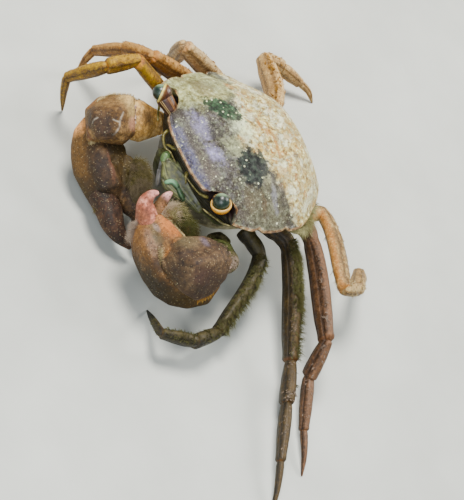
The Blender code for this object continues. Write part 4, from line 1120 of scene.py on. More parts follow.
def buildClaw(sideName):
    c = claws[sideName]
    paint = {}
    for part in ("Palm", "Finger", "Wrist", "Arm"):
        paint[part] = clawPaint(sideName + " " + part, *clawLook[sideName + part])
    steps = [
        (0.0, 1.0, 1.1), (0.1, 1.4, 1.6), (0.16, 1.2, 1.4), (0.2, 1.45, 1.7), (0.35, 1.55, 2.0),
        (0.65, 1.62, 2.6), (0.84, 1.6, 2.5), (0.94, 1.4, 2.0), (1.0, 1.0, 1.4),
    ]
    arm = planLimb(c["arm"], steps, c["armThin"], keel=0.05, groove=0.03, ends=(0.14, 0.16), softness=2)
    plans[sideName + "_arm"] = arm
    limbPiece(sideName + "ArmSkin", arm, 36, 70, paint["Arm"], [sideName + "_claw_arm"])

    thickAxis = axesFrom(c["axis"], c["up"])[1]
    palmForms = [hullMesh(c["palm"])]
    steps = [(0.0, 1.4, 1.6), (0.3, 1.2, 1.35), (0.6, 0.9, 0.95), (0.85, 0.6, 0.62), (1.0, 0.25, 0.28)]
    palmForms.append(limbMesh(planLimb(c["low"], steps, thickAxis, power=2.0, ends=(0.04, 0.03)), 32, 40))
    for centre, along, halves in c["lobes"]:
        palmForms.append(ballMesh(centre, axesFrom(along, (0.3, -0.6, 0.7)), halves))
    for centre, halves in c["pads"]:
        palmForms.append(ballMesh(centre, axesFrom(*c["padAxes"]), halves))
    for part, forms, voxel, passes in (
        ("wrist", [hullMesh(c["wrist"])], 0.11, c["wristPasses"]), ("palm", palmForms, 0.12, 26),
    ):
        bm = fused(forms, voxel, passes)
        for line, width, depth in c[part + "Lines"]:
            pressLine(bm, line, width, depth)
        plans[sideName + "_" + part] = treeOf(bm)
        word = part.title()
        addPiece(sideName + word + "Skin", bm, paint[word], [sideName + "_claw_" + part])

    finger = planLimb(c["finger"], c["fingerSteps"], thickAxis, power=2.1, groove=0.05, ends=(0.05, 0.02))
    limbPiece(
        sideName + "FingerSkin", finger, 36, 56, paint["Finger"],
        [sideName + "_claw_finger"]
    )


for clawSide in ("left", "right"):
    buildClaw(clawSide)
print("claws done")

# eyes

def corneaPaint(name, centre):
    # dark in the middle, pale rays from the upper rim, and a painted highlight: a soft pale haze on the
    # side towards the light
    skin = Skin(name, coat=0.25)
    skin.shader.inputs["Coat Roughness"].default_value = 0.28
    skin.shader.inputs["Roughness"].default_value = 0.38
    away = skin.attribute("along")
    rays = skin.lines("turn", 46.0, 3.0)
    skin.base = skin.ramp(
        away, (0.0, (16, 24, 24)), (0.5, (20, 34, 34)), (0.8, (34, 54, 48)), (1.0, (70, 88, 72))
    )
    streak = skin.times(skin.between(rays, 0.46, 0.66), skin.between(away, 0.1, 0.55))
    skin.lay(streak, 0.5, (96, 122, 106))
    # painted highlight: pale haze laid on the side of the cornea that faces the light
    apart = skin.vector("SUBTRACT", skin.point, tuple(centre))[0]
    upward = skin.vector("DOT_PRODUCT", apart, (-0.8, 0.2, 0.55))["Value"]
    paintedHighlight = skin.between(skin.blend((upward, 1), (rays, 0.5)), 0.75, 1.3)
    skin.lay(paintedHighlight, 0.8, (170, 186, 160))
    facets = skin.specks(9.0, 0.5, 0.3)
    skin.lay(facets, 0.2, (70, 96, 88))
    return skin.done(facets, 0.01)


def cupPaint(name, stops):
    skin = Skin(name, coat=0.3)
    fine = skin.noise(3.0, 4.0, 0.6)
    skin.base = skin.ramp(skin.attribute("along"), *stops)
    skin.lay(skin.between(fine, 0.45, 0.7), 0.4, (120, 76, 36))
    return skin.done(fine, 0.04, fine, (0.3, 0.75, 0.25, 0.5))


def stalkPaint():
    skin = Skin("eye stalk skin", coat=0.1)
    fine = skin.noise(2.4, 4.0, 0.65)
    skin.base = skin.ramp(fine, (0.3, (52, 34, 34)), (0.55, (92, 66, 56)), (0.75, (128, 100, 80)))
    stripes = skin.lines("across", 5.0, 2.0)
    skin.lay(skin.between(stripes, 0.52, 0.62), 0.6, (176, 136, 96))
    skin.lay(skin.between(stripes, 0.6, 0.64), 0.7, (226, 206, 160))
    return skin.done(fine, 0.06, fine, (0.3, 0.75, 0.35, 0.6))


cupStops = {
    "left": [
        (0.0, (90, 60, 34)), (0.4, (180, 124, 64)), (0.62, (226, 166, 84)), (0.76, (240, 200, 128)),
        (0.84, (196, 164, 112)), (1.0, (80, 64, 40)),
    ],
    "right": [
        (0.0, (66, 46, 40)), (0.5, (84, 60, 50)), (0.68, (120, 88, 56)), (0.78, (226, 208, 140)),
        (1.0, (150, 130, 80)),
    ],
}


def buildEye(sideName):
    e = eyes[sideName]
    centre, root, gaze = Vector(e["centre"]), Vector(e["root"]), Vector(e["gaze"]).normalized()
    axes = axesFrom(gaze.orthogonal(), gaze)
    bm = bmesh.new()
    bmesh.ops.create_uvsphere(bm, u_segments=56, v_segments=36, radius=1.0)
    along = bm.verts.layers.float.new("along")
    turn = bm.verts.layers.float.new("turn")
    for vert in bm.verts:
        vert[along] = math.acos(max(-1, min(1, vert.co.z))) / (math.pi * 0.55)
        vert[turn] = abs(math.atan2(vert.co.y, vert.co.x)) / math.pi
    turning = Matrix([axes[0], axes[1], axes[2]]).transposed().to_4x4()
    grown = Matrix.Translation(centre) @ turning @ Matrix.Scale(eyes["cornea"], 4)
    bmesh.ops.transform(bm, matrix=grown, verts=bm.verts)
    addPiece(
        sideName + "Cornea", bm, corneaPaint(sideName + " cornea", centre), [sideName + "_eye"]
    )

    # amber cup that holds the cornea: a ball cut open by a spun lip
    lipStart = 0.8
    bm = makeTube(56, 30)
    along = bm.verts.layers.float.new("along")
    for vert in bm.verts:
        s = vert.co.z
        rim = min(1.0, math.hypot(vert.co.x, vert.co.y))
        angle = math.atan2(vert.co.y, vert.co.x)
        # up the outside, then over the lip and inwards
        lift = math.pi * (0.02 + 0.5 * min(1.0, s / lipStart))
        radius = math.sin(lift) * eyes["cup"]
        height = -math.cos(lift) * eyes["cup"] - eyes["cupBack"][sideName]
        if s > lipStart:
            radius -= (s - lipStart) / 0.2 * 0.42
            height += 0.12 * math.sin((s - lipStart) / 0.2 * math.pi) - (s - lipStart) * 0.9
        vert[along] = s
        spin = axes[0] * math.cos(angle) + axes[1] * math.sin(angle)
        vert.co = centre + spin * (radius * rim) + gaze * height
    addPiece(sideName + "EyeCup", bm, cupPaint(sideName + " eye cup", cupStops[sideName]))

    toEye = (centre - root).normalized()
    start = root - toEye * 0.8
    steps = [(0.0, 0.8, 0.8), (0.4, eyes["stalk"], eyes["stalk"]), (0.8, 1.12, 1.12), (1.0, 1.0, 1.0)]
    path = [start, start.lerp(centre, 0.5), centre - toEye * 0.3]
    stalk = planLimb(path, steps, (0, 0, 1), power=2.0, ends=(0.05, 0.1))
    limbPiece(
        sideName + "EyeStalkSkin", stalk, 40, 30, stalkPaint(), [sideName + "_eyestalk"]
    )


for eyeSide in ("left", "right"):
    buildEye(eyeSide)
print("eyes done")

# mouth and feelers
mouth = {
    "plate": [(1.7, -10.1, -3.9), (2.05, -9.7, -6.0), (1.9, -8.9, -8.7)],
    "broad": [
        (-1.7, -10.9, -3.3), (-0.85, -10.9, -3.5), (0.7, -10.55, -3.7), (2.6, -9.75, -3.85),
        (4.6, -9.1, -4.15), (6.2, -8.7, -4.8),
    ],
    "outer": [(-1.75, -10.9, -4.1), (-1.2, -10.85, -5.2), (-0.4, -11.1, -6.1), (0.45, -11.4, -6.8)],
    "palp": [
        (1.15, -11.75, -4.75), (1.3, -11.6, -4.35), (1.6, -11.1, -4.0), (2.3, -10.75, -4.1),
        (3.5, -10.45, -4.5), (4.5, -10.0, -4.9),
    ],
    "rightFeeler": [
        (-4.4, -10.2, -1.3), (-3.9, -11.1, -1.6), (-3.14, -11.3, -1.98), (-2.37, -11.25, -2.21),
        (-1.67, -10.95, -2.1), (-0.67, -10.75, -2.3), (0.0, -10.55, -2.5),
    ],
    "leftFeeler": [
        (5.9, -9.3, -1.4), (5.2, -10.1, -1.5), (4.5, -10.5, -1.5), (3.5, -10.8, -1.5),
        (2.6, -10.95, -1.5),
    ],
    "lowRim": [
        (6.6, -10.0, -2.6), (7.4, -9.6, -2.5), (8.5, -8.95, -2.3), (9.6, -8.3, -2.1), (10.6, -7.2, -1.4),
    ],
    "plateSteps": [
        (0.0, 0.4, 1.3), (0.1, 0.52, 1.75), (0.3, 0.56, 1.95), (0.44, 0.5, 1.8), (0.49, 0.34, 1.62),
        (0.54, 0.5, 1.75), (0.8, 0.5, 1.6), (1.0, 0.38, 1.0),
    ],
    "antennuleSteps": [
        (0.0, 0.26, 0.26), (0.35, 0.28, 0.28), (0.42, 0.17, 0.17), (0.5, 0.2, 0.2), (0.7, 0.13, 0.13),
        (1.0, 0.08, 0.08),
    ],
    "feelerSteps": [
        (0.0, 0.2, 0.2), (0.16, 0.24, 0.24), (0.2, 0.16, 0.16), (0.24, 0.2, 0.2), (0.36, 0.16, 0.16),
        (0.4, 0.12, 0.12), (0.7, 0.1, 0.1), (1.0, 0.06, 0.06),
    ],
    "rimSteps": [(0.0, 0.1, 0.12), (0.5, 0.16, 0.18), (1.0, 0.1, 0.12)],
    "broadSteps": [
        (0.0, 0.5, 0.55), (0.08, 0.6, 0.8), (0.16, 0.5, 1.25), (0.24, 0.45, 1.8), (0.36, 0.45, 2.25),
        (0.5, 0.45, 2.15), (0.62, 0.42, 1.8), (0.8, 0.4, 1.2), (1.0, 0.2, 0.3),
    ],
    "outerSteps": [
        (0.0, 0.3, 0.35), (0.3, 0.34, 0.42), (0.36, 0.26, 0.3), (0.42, 0.34, 0.42), (0.8, 0.3, 0.34),
        (1.0, 0.14, 0.16),
    ],
    "palpSteps": [
        (0.0, 0.18, 0.2), (0.1, 0.24, 0.28), (0.3, 0.3, 0.34), (0.45, 0.32, 0.36), (0.5, 0.26, 0.28),
        (0.56, 0.3, 0.36), (0.85, 0.28, 0.34), (1.0, 0.12, 0.16),
    ],
}


def mouthPaint(name, dark, mid, light, streak=0.5, start=None):
    # fine long lines run the length of each piece
    skin = Skin(name, coat=0.12)
    fine = skin.noise(1.6, 4.0, 0.6)
    lines = skin.lines("across", 9.0, 2.0)
    skin.base = skin.ramp(fine, (0.3, dark), (0.52, mid), (0.74, light))
    skin.lay(skin.between(lines, 0.5, 0.62), streak, light)
    skin.lay(skin.between(lines, 0.48, 0.38), streak, dark)
    skin.lay(skin.attribute("crease"), 0.6, dark)
    if start:   # the first stretch is paler
        # on the palp this paler first stretch is a painted highlight
        skin.base = skin.mix(
            skin.between(skin.attribute("along"), 0.05, 0.5, 0.85, 0.0), skin.base, start
        )
    return skin.done(skin.blend((lines, 1), (fine, 0.6)), 0.09, fine, (0.3, 0.75, 0.4, 0.62))


plateSkin = mouthPaint("mouth plate skin", (58, 60, 38), (102, 100, 66), (146, 146, 106))
bulbSkin = mouthPaint("bulb skin", (78, 90, 60), (112, 128, 92), (150, 166, 128), 0.15)
cheekPaint = palePaint("cheek skin", (66, 70, 44), (108, 110, 72), (140, 142, 100), 0.08, 1.3)
# the pale mint start colour of the palp is a painted highlight
palpSkin = mouthPaint("palp skin", (50, 70, 48), (74, 98, 66), (104, 128, 92), 0.15, (154, 188, 158))
edgeSkin = mouthPaint("mouth edge skin", (84, 74, 60), (140, 132, 124), (186, 184, 190))
feelerSkin = palePaint("feeler skin", (70, 64, 38), (120, 110, 66), (176, 166, 118), 0.05, 1.6)
spotSkin = palePaint("pale spot skin", (150, 140, 96), (206, 200, 160), (232, 228, 200), 0.05, 1.6)
cheeks = ballMesh((0, -7.4, -5.2), ((1, 0, 0), (0, 1, 0), (0, 0, 1)), (8.0, 2.4, 2.8), 96, 48, power=3.0)
for vert in cheeks.verts:
    vert.co.y += 0.035 * vert.co.x ** 2 + max(0.0, -4.0 - vert.co.z) * 0.35
    vert.co.y += 0.1 * math.sin(vert.co.z * 5.0 + 0.4 * abs(vert.co.x)) * (vert.co.y < -8.4)
for name in ("along", "across", "upward"):
    cheeks.verts.layers.float.new(name)
addPiece("cheekSkin", cheeks, cheekPaint)
for sideName, sign in (("left", 1), ("right", -1)):
    plate = planLimb(
        [
            (p[0] * sign, p[1], p[2]) for p in mouth["plate"]
        ], mouth["plateSteps"], (0, 1, 0), power=2.6, groove=0.1, ends=(0.08, 0.06), softness=1
    )
    limbPiece(
        sideName + "MouthPlateSkin", plate, 44, 70, plateSkin, [sideName + "_mouth_plate"]
    )
    path = [
        (1.7 * sign, -9.9, -1.7), (2.0 * sign, -10.55, -1.7), (2.6 * sign, -10.75, -2.0),
        (3.0 * sign, -10.7, -2.5),
    ]
    plan = planLimb(path, mouth["antennuleSteps"], (0, 0, 1), power=2.0, ends=(0.03, 0.03), softness=1)
    limbPiece(sideName + "AntennuleSkin", plan, 20, 40, feelerSkin, [sideName + "_antennule"])
    plan = planLimb(
        mouth[sideName + "Feeler"], mouth["feelerSteps"], (0, 0, 1), power=2.0, ends=(0.03, 0.02),
        softness=1
    )
    for name in ("half", "height"):
        plan[name] *= 1 - 0.12 * np.sin(plan["at"] * 130) ** 2 * (plan["at"] > 0.45)
    limbPiece(sideName + "AntennaSkin", plan, 20, 90, feelerSkin, [sideName + "_antenna"])
    rim = planLimb(
        [
            (p[0] * sign, p[1], p[2]) for p in mouth["lowRim"]
        ], mouth["rimSteps"], (0, 0, 1), power=2.0, softness=1
    )
    limbPiece(sideName + "LowOrbitRim", rim, 16, 60, feelerSkin)
facing = (0.31, -0.64, 0.71)
plan = planLimb(
    mouth["broad"], mouth["broadSteps"], facing, power=2.4, groove=0.06, ends=(0.06, 0.04), softness=1
)
broad = limbMesh(plan, 56, 110)
pressLine(broad, [(-1.1, -11.6, -3.4), (-0.9, -10.9, -3.0)], 0.12, 0.12)
pressLine(broad, [(0.9, -10.4, -3.2), (3.0, -9.9, -3.6), (5.4, -9.0, -4.2)], 0.14, 0.12)
pressLine(broad, [(0.6, -11.9, -4.6), (1.9, -11.0, -4.4), (4.2, -9.8, -4.6)], 0.16, 0.15)
broadTree = treeOf(broad)
addPiece("broadMouthPlateSkin", broad, plateSkin)
bulb = ballMesh((-1.62, -11.05, -3.3), axesFrom((0.35, -0.2, -0.5), facing), (0.85, 0.6, 0.55))
addPiece("mouthBulb", bulb, bulbSkin)
plan = planLimb(mouth["outer"], mouth["outerSteps"], facing, softness=1)
limbPiece("outerMouthEdge", plan, 24, 60, edgeSkin)
plan = planLimb(mouth["palp"], mouth["palpSteps"], facing, ends=(0.04, 0.04), softness=1)
limbPiece("palpSkin", plan, 28, 70, palpSkin)
spot = broadTree.find_nearest(Vector((0.5, -9.7, -3.0)))[0]
addPiece(
    "paleSpot", ballMesh(spot, axesFrom((0.43, -0.2, -0.3), facing), (0.6, 0.34, 0.12)), spotSkin,
)
print("mouth and feelers done")

# bristles

def hairPaint(name, root, tip, other=None):
    skin = Skin(name, specular=0.3)
    root, tip = tone(*root), tone(*tip)
    fine = skin.noise(3.0, 2.0)
    middle = tuple(0.5 * (a + b) for a, b in zip(root, tip))
    skin.base = skin.ramp(skin.attribute("along"), (0.0, root), (0.55, middle), (1.0, tip))
    skin.lay(skin.between(fine, 0.4, 0.7), 0.35, root)
    if other:   # patches of another colour, as in a matted brush
        skin.lay(skin.cloudy((0.5, 4.0, 0.65), 0.47, 0.55), 0.6, other)
    return skin.done(fine, 0.02, fine, (0.3, 0.7, 0.5, 0.75))


def growHair(name, hairs, material, bend=0.35):
    # hairs: (root, lean, lie, length, radius, u, v); one tapered lock, closed at both ends, is repeated
    bm = bmesh.new()
    bmesh.ops.create_cone(bm, cap_ends=True, segments=4, radius1=1.0, radius2=0.12, depth=1)
    bmesh.ops.translate(bm, vec=(0, 0, 0.5), verts=bm.verts)
    upright = [edge for edge in bm.edges if abs(edge.verts[0].co.z - edge.verts[1].co.z) > 0.5]
    bmesh.ops.subdivide_edges(bm, edges=upright, cuts=2)
    bmesh.ops.triangulate(bm, faces=bm.faces)
    bmesh.ops.recalc_face_normals(bm, faces=bm.faces)
    bm.verts.index_update()
    shape = np.array([tuple(vert.co) for vert in bm.verts])
    faces = np.array([[vert.index for vert in face.verts] for face in bm.faces])
    bm.free()
    roots, lean, lie = [np.array([tuple(h[i]) for h in hairs]) for i in range(3)]
    length, radius = [np.array([h[i] for h in hairs])[:, None, None] for i in (3, 4)]
    lean /= np.linalg.norm(lean, axis=1)[:, None]
    lie -= lean * (lean * lie).sum(1)[:, None]
    lie /= np.maximum(np.linalg.norm(lie, axis=1)[:, None], 1e-6)
    third = np.cross(lean, lie)
    x, y, z = [shape[:, i][None, :, None] for i in range(3)]
    verts = roots[:, None] + lean[:, None] * (length * (z - 0.12 - bend * 0.3 * z ** 2))
    verts = verts + lie[:, None] * (length * bend * z ** 2 + radius * x) + third[:, None] * (radius * y)
    count, each = len(hairs), len(shape)
    allFaces = (faces[None] + (np.arange(count) * each)[:, None, None]).reshape(-1, 3)
    mesh = bpy.data.meshes.new(name)
    mesh.from_pydata(verts.reshape(-1, 3).tolist(), [], allFaces.tolist())
    along = mesh.attributes.new("along", "FLOAT", "POINT")
    along.data.foreach_set("value", np.tile(shape[:, 2], count).astype(np.float32))
    places = np.array([[h[5], h[6]] for h in hairs])
    patch = np.stack([shape[:, 0] * 0.0012 + 0.0015, shape[:, 2] * 0.003], axis=1)
    corners = (places[:, None] + patch[None]).reshape(-1, 2)[allFaces.reshape(-1)]
    mesh.uv_layers.new(name="OFBake").data.foreach_set("uv", corners.astype(np.float32).reshape(-1))
    return finishPiece(name, mesh, material)


def scatter(spread=0.35):
    return Vector((random.gauss(0, spread), random.gauss(0, spread), random.gauss(0, spread)))


tuftSize = 6


def limbHair(planName, row, count, first, last, angles, length, radius, lean=0.2):
    # hairs on a limb between two places along it and two angles round it
    plan = plans[planName]
    hairs = []
    for i in range(count):
        if i % tuftSize == 0:
            # the hairs of a tuft share a place and a way of leaning
            middle, swing = (random.uniform(first, last), random.uniform(*angles)), scatter(0.3)
        t = min(max(middle[0] + random.gauss(0, 0.006), 0.0), 1.0)
        angle = middle[1] + random.gauss(0, 0.08)
        spot, facing = limbSpot(plan, t, angle)
        heading = plan["frames"][min(60, int(t * 60))][3]
        u = (row + 0.5 + 0.45 * math.sin(angle)) / 40
        way = facing + heading * lean + swing + scatter(0.16)
        size = (length * random.uniform(0.5, 1.15), radius * random.uniform(0.7, 1.3))
        hairs.append((spot, way, heading, *size, u * 0.98, t * 0.98))
    return hairs


olive = hairPaint("olive bristles", (52, 51, 31), (142, 138, 100), (100, 94, 62))
sandy = hairPaint("sandy bristles", (70, 64, 40), (196, 188, 150), (122, 114, 76))
cream = hairPaint("cream bristles", (130, 100, 62), (222, 206, 172))
amber = hairPaint("amber bristles", (120, 80, 36), (206, 168, 104))
pinkWhite = hairPaint("pale bristles", (96, 76, 66), (196, 178, 164))
coats = {   # limb, how many, first and last place, angles round it, length, radius, lean
    "leftFrontLegFuzz": (
        olive,
        [
            ("left_leg_2_merus", 1300, 0.25, 0.98, (0.1, 2.2), 0.7, 0.034, 0.25),
            ("left_leg_2_carpus", 260, 0.1, 0.95, (0.2, 2.6), 0.45, 0.035, 0.5),
            ("left_leg_2_propodus", 420, 0.1, 0.9, (0.2, 2.8), 0.45, 0.03, 0.5),
            ("left_leg_3_merus", 2600, 0.18, 0.66, (0.3, 2.1), 0.8, 0.034, 0.15),
            ("left_leg_3_merus", 500, 0.55, 0.98, (0.3, 2.4), 0.55, 0.03, 0.3),
            ("left_leg_2_dactylus", 120, 0.1, 0.6, (-1.0, 4.0), 0.3, 0.025, 0.8),
        ],
    ),
    "leftFrontLegSpikes": (
        olive,
        [
            ("left_leg_2_merus", 300, 0.3, 0.98, (0.0, 0.6), 1.15, 0.034, 0.1),
            ("left_leg_3_merus", 420, 0.25, 0.98, (0.4, 0.9), 1.1, 0.036, 0.05),
            ("left_leg_3_carpus", 14, 0.2, 0.9, (0.4, 0.8), 0.7, 0.04, 0.3),
        ],
    ),
    "leftLegRidgeBristles": (
        pinkWhite,
        [
            ("left_leg_3_merus", 70, 0.6, 0.97, (1.7, 2.4), 0.35, 0.035, 0.3),
            ("left_leg_3_carpus", 60, 0.1, 0.95, (1.5, 2.6), 0.3, 0.035, 0.4),
            ("left_leg_3_carpus", 70, 0.75, 0.98, (0.2, 2.8), 0.5, 0.04, 0.3),
            ("left_leg_3_propodus", 80, 0.05, 0.95, (1.5, 2.6), 0.28, 0.03, 0.5),
            ("left_leg_4_merus", 110, 0.2, 0.97, (1.6, 2.5), 0.75, 0.04, 0.1),
            ("left_leg_4_carpus", 60, 0.1, 0.95, (1.4, 2.6), 0.4, 0.035, 0.4),
            ("left_leg_4_propodus", 60, 0.1, 0.9, (1.4, 2.6), 0.35, 0.03, 0.4),
            ("left_leg_5_merus", 108, 0.35, 0.98, (0.35, 0.95), 1.4, 0.075, 0.05),
        ],
    ),
    "leftRearLegFuzz": (
        cream,
        [
            ("left_leg_5_merus", 500, 0.22, 0.98, (0.9, 3.6), 0.3, 0.03, 0.4),
            ("left_leg_5_carpus", 130, 0.05, 0.95, (0.2, 3.0), 0.5, 0.03, 0.3),
            ("left_leg_5_propodus", 100, 0.05, 0.95, (0.2, 3.0), 0.35, 0.03, 0.4),
            ("left_leg_5_merus", 120, 0.9, 1.0, (0.0, 6.2), 0.6, 0.04, 0.6),
        ],
    ),
    "rightLegFuzz": (
        amber,
        [
            ("right_leg_2_merus", 200, 0.3, 0.97, (1.0, 2.2), 0.28, 0.03, 0.4),
            ("right_leg_2_carpus", 110, 0.1, 0.95, (1.0, 2.2), 0.28, 0.025, 0.5),
            ("right_leg_2_propodus", 140, 0.1, 0.9, (1.0, 2.2), 0.25, 0.025, 0.5),
            ("right_leg_3_merus", 220, 0.3, 0.97, (1.0, 2.2), 0.35, 0.03, 0.4),
            ("right_leg_3_carpus", 60, 0.1, 0.95, (1.0, 2.2), 0.3, 0.025, 0.5),
            ("right_leg_4_merus", 160, 0.3, 0.97, (1.0, 2.2), 0.35, 0.03, 0.4),
            ("right_leg_5_merus", 420, 0.25, 0.97, (0.4, 2.8), 0.4, 0.035, 0.4),
            ("right_leg_5_merus", 90, 0.25, 0.97, (0.2, 0.8), 0.9, 0.045, 0.1),
            ("right_leg_5_carpus", 120, 0.1, 0.95, (0.4, 2.8), 0.4, 0.03, 0.4),
        ],
    ),
}
for coatName, (paint, rows) in coats.items():
    grown = []
    for i, row in enumerate(rows):
        grown += limbHair(row[0], i, *row[1:])
    growHair(coatName, grown, paint)

margin = {"leftCount": 900, "rightCount": 400, "fanCount": 1500, "fanTuft": 8}
marginHair = []
for sign, count in ((1, margin["leftCount"]), (-1, margin["rightCount"])):
    for _ in range(count):
        t = random.random()
        x, y = 12.2 - 3.6 * t ** 1.6, 2.2 + 6.2 * t
        start = Vector((x * 0.7 * sign, y * 0.8, -2.6 - random.random() * 1.6))
        away = Vector((x * sign, y * 0.7, 0)).normalized()
        spot = shellTree.ray_cast(start + away * 8, -away)[0]
        if spot:
            way = away + Vector((0, 0.2, 0.25)) + scatter(0.3)
            size = (random.uniform(0.6, 1.3), random.uniform(0.04, 0.07))
            marginHair.append(
                (spot, way, Vector((0, 0.6, -1)), *size, 0.5 + spot.x / 40, 0.5 + spot.y / 40)
            )
for i in range(margin["fanCount"]):
    # the fan of long bristles at the left rear corner, grown in tufts
    if i % margin["fanTuft"] == 0:
        middle, low, swing = random.random(), random.random() * 0.9, scatter(0.4)
    t = min(max(middle + random.gauss(0, 0.012), 0.0), 1.0)
    start = Vector((12.1 - 2.9 * t ** 1.3, 2.4 + 5.2 * t, -1.9 - 0.7 * t - low - random.random() * 0.12))
    away = Vector((start.x, start.y, 0)).normalized()
    inner = Vector((start.x * 0.6, start.y * 0.6, start.z))
    spot = shellTree.ray_cast(inner + away * 12, -away)[0]
    if spot:
        way, fall = Vector((0.7, 0.45, 0.15)) + swing + scatter(0.16), Vector((0.3, 0.1, -0.8)) + swing
        length = random.uniform(0.8, 2.6) * (0.6 + 0.8 * math.sin(math.pi * t))
        size = (length, random.uniform(0.03, 0.055))
        marginHair.append((spot, way, fall, *size, 0.5 + spot.x / 40, 0.5 + spot.y / 40))
growHair("shellSideBristles", marginHair, sandy)


def clawHair(sideName, which, count, length, radius):
    # the brush grows from the pads at the root of the fingers
    c = claws[sideName]
    axis, thickAxis, up = axesFrom(*c["padAxes"])
    tree = plans[sideName + "_palm"]
    centre, halves = Vector(c["pads"][which][0]), c["pads"][which][1]
    middle, comb = Vector(c["low"][0]), Vector(c["comb"])
    hairs = []
    for _ in range(count):
        way = Vector((random.gauss(0, 1), random.gauss(0, 1), random.gauss(0, 1))).normalized()
        out = axis * (way.x * halves[0]) + thickAxis * (way.y * halves[1]) + up * (way.z * halves[2])
        spot = tree.find_nearest(centre + out)[0]
        if (spot - centre - out).length > 0.4 or out.dot(centre - middle) < c["brushBack"]:
            continue
        lean, lie = out.normalized() * 0.65 + comb + scatter(0.4), comb + scatter(0.6)
        size = (length * random.uniform(0.5, 1.5), radius * random.uniform(0.6, 1.3))
        hairs.append((spot, lean, lie, *size, 0.2 + 0.25 * which + 0.1 * way.x, 0.5 + 0.2 * way.y))
    return hairs


def lineHair(tree, line, spread, count, lean, lie, length, radius, u):
    # hairs rooted along a line laid on a skin
    points = vectors(line)
    hairs = []
    for _ in range(count):
        t = random.random()
        spot, facing, _, _ = tree.find_nearest(pathPoint(points, t) + scatter(spread))
        way = Vector(lean) + facing * 0.6 + scatter(0.25)
        size = (length * random.uniform(0.5, 1.2), radius * random.uniform(0.7, 1.3))
        hairs.append((spot, way, Vector(lie), *size, u, t * 0.9))
    return hairs


brushPaint = hairPaint("brush", (96, 90, 62), (190, 178, 142), (208, 188, 174))
greenBrush = hairPaint("green brush", (56, 56, 30), (122, 120, 80), (98, 86, 62))
darkBrush = hairPaint("dark brush", (64, 58, 36), (142, 130, 94), (132, 118, 106))
paleHairs, greenHairs = [], []
for hair in clawHair("left", 0, 5600, 0.9, 0.024) + clawHair("left", 2, 3200, 0.9, 0.024):
    near = (hair[0] - Vector((4.6, -13.9, -4.2))).length < random.uniform(1.2, 3.2)
    (paleHairs if near else greenHairs).append(hair)
growHair("leftClawBrush", greenHairs, greenBrush, 0.4)
growHair("leftClawBrushPaleSide", paleHairs, brushPaint, 0.4)
tuft = lineHair(
    plans["left_palm"], [(5.5, -18.3, -5.0), (6.3, -18.8, -5.9), (7.2, -19.2, -6.8)], 0.3, 460,
    (-0.7, -0.7, -0.2), (0.2, -0.4, -0.6), 0.95, 0.02, 0.6
)
growHair("leftClawOuterTuft", tuft, pinkWhite, 0.3)
growHair("rightClawBrush", clawHair("right", 0, 6800, 0.9, 0.026), darkBrush, 0.4)
growHair("rightClawOuterTuft", clawHair("right", 1, 500, 0.5, 0.035), darkBrush, 0.3)
edging = lineHair(
    plans["left_palm"], [(6.0, -14.6, -3.0), (7.4, -13.9, -3.2), (8.8, -13.7, -3.4), (10.2, -14.3, -3.2)],
    0.2, 420, (0.2, 0.8, 0.6), (0.3, 0.5, 0.2), 0.42, 0.026, 0.1
)
edging += lineHair(
    plans["left_palm"], [(10.4, -18.0, -3.9), (11.4, -18.2, -4.3), (12.2, -18.1, -4.7)], 0.2, 190,
    (0.2, -0.2, 0.8), (0.2, 0.2, 0.5), 0.8, 0.028, 0.15
)
edging += lineHair(
    plans["right_wrist"], [(-6.6, -19.0, -6.2), (-6.0, -17.6, -5.8)], 0.2, 130, (0.7, -0.2, -0.3),
    (0.5, 0.2, -0.6), 0.55, 0.035, 0.2
)
edging += lineHair(
    plans["right_wrist"], [(-11.6, -17.8, -2.6), (-11.2, -14.6, -2.0), (-9.6, -12.6, -1.4)], 0.2, 220,
    (-0.6, 0.2, 0.6), (-0.3, 0.2, 0.4), 0.5, 0.035, 0.25
)
growHair("clawEdging", edging, cream, 0.3)
tuft = lineHair(
    plans["left_wrist"], [(12.2, -11.8, -0.8), (13.0, -11.1, -0.9), (13.6, -10.9, -1.1)], 0.5, 210,
    (0.2, 0.5, 0.6), (0.2, 0.8, 0.2), 0.8, 0.026, 0.3
)
growHair("leftWristTuft", tuft, hairPaint("green tuft", (58, 60, 32), (128, 130, 84)), 0.4)
spikes = lineHair(
    plans["left_wrist"], [(17.8, -15.0, -5.6), (17.6, -13.4, -5.2), (17.4, -12.0, -4.6)], 0.12, 44,
    (0.75, -0.35, -0.5), (0.4, 0.2, -0.8), 0.75, 0.06, 0.4
)
growHair("wristSpikes", spikes, amber, 0.15)
armTree = treeOf(limbMesh(plans["left_arm"], 36, 70))
tuft = lineHair(
    armTree, [(12.6, -7.4, -3.0), (14.2, -8.4, -3.0), (15.4, -9.2, -3.8)], 0.9, 230, (0.6, 0.1, 0.6),
    (0.8, 0.2, -0.2), 0.8, 0.034, 0.7
)
growHair("leftArmTuft", tuft, pinkWhite, 0.4)
growHair(
    "armBristles", limbHair("left_arm", 3, 500, 0.62, 0.99, (0.3, 2.9), 0.6, 0.035, 0.4), pinkWhite,
    0.3
)
growHair(
    "rightArmBristles", limbHair("right_arm", 5, 420, 0.6, 0.99, (1.4, 3.4), 0.5, 0.035, 0.3), cream,
    0.3
)
# pale warts beside the wrists
wart = palePaint("wart skin", (124, 98, 86), (176, 150, 136), (218, 200, 188), 0.05, 2.0)
warts = []
for sideName, line, count, size in (
    ("left", [(13.6, -10.4, -1.2), (14.8, -10.2, -2.0), (15.8, -10.9, -3.2)], 20, 0.24),
    ("right", [(-8.2, -12.6, -2.2), (-7.2, -12.9, -3.2)], 9, 0.26),
):
    points = vectors(line)
    for i in range(count):
        tree = plans[sideName + "_wrist"]
        spot, facing, _, _ = tree.find_nearest(pathPoint(points, (i + 0.5) / count) + scatter(0.5))
        halves = (size * random.uniform(0.6, 1.3), size * random.uniform(0.6, 1.2), size * 0.8)
        warts.append(ballMesh(spot, axesFrom(facing.orthogonal(), facing), halves))
addPiece("wristWarts", joined(warts), wart)
print("bristles done")

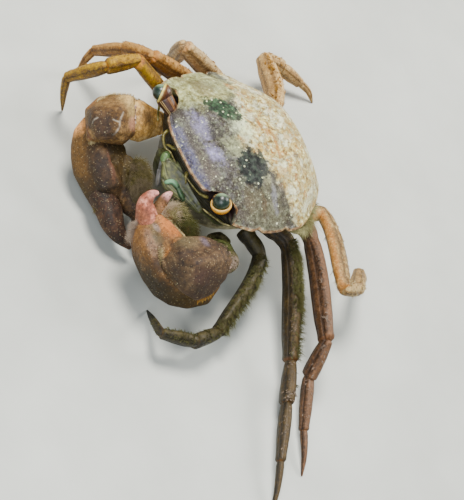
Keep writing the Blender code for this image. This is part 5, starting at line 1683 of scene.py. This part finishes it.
# floor, light and camera
bm = bmesh.new()
bmesh.ops.create_grid(bm, x_segments=40, y_segments=40, size=1.6)
floorMesh = toMesh(bm, "floor")
floor = bpy.data.objects.new("floor", floorMesh)
scene.collection.objects.link(floor)
skin = Skin("pale floor", specular=0.2)
skin.shader.inputs["Roughness"].default_value = 0.85
cloud = skin.noise(60.0, 4.0, point=skin.local)
skin.base = skin.ramp(cloud, (0.3, (196, 194, 190)), (0.7, (206, 204, 200)))
floorMesh.materials.append(skin.done(cloud, 0.15))

sky = {"colour": (0.93, 0.95, 1.0, 1.0), "strength": 0.22}
world = bpy.data.worlds.new("studio")
scene.world = world
world.use_nodes = True
background = world.node_tree.nodes["Background"]
background.inputs[0].default_value = sky["colour"]
background.inputs[1].default_value = sky["strength"]
lights = {
    "key": ((-0.12, -0.05, 0.33), 0.13, 2.6, (1.0, 0.96, 0.9)),
    "fill": ((0.16, -0.26, 0.22), 0.26, 1.3, (0.9, 0.95, 1.0)),
    "back": ((0.02, 0.3, 0.26), 0.2, 1.6, (1.0, 0.97, 0.92)),
}
for lightName, (place, size, power, colour) in lights.items():
    lamp = bpy.data.lights.new(lightName, "AREA")
    lamp.shape = "DISK"
    lamp.size = size
    lamp.energy = power
    lamp.color = colour
    holder = bpy.data.objects.new(lightName, lamp)
    holder.location = place
    holder.rotation_euler = (Vector((0, 0, 0.01)) - Vector(place)).to_track_quat("-Z", "Y").to_euler()
    scene.collection.objects.link(holder)

view = {
    "place": (78.43, -143.91, 147.41), "right": (0.4311, 0.7556, 0.4931),
    "back": (0.3082, -0.637, 0.7066), "lens": 122.918,
}
camera = bpy.data.objects.new("camera", bpy.data.cameras.new("camera"))
camera.data.lens = view["lens"]
camera.data.clip_start = 0.001
back = Vector(view["back"]).normalized()
right = Vector(view["right"])
right = (right - back * right.dot(back)).normalized()
stand = Matrix([right, back.cross(right), back]).transposed().to_4x4()
camera.matrix_world = Matrix.Translation((Vector(view["place"]) + bodyPlace) * 0.001) @ stand
scene.collection.objects.link(camera)
scene.camera = camera
print("stage done")
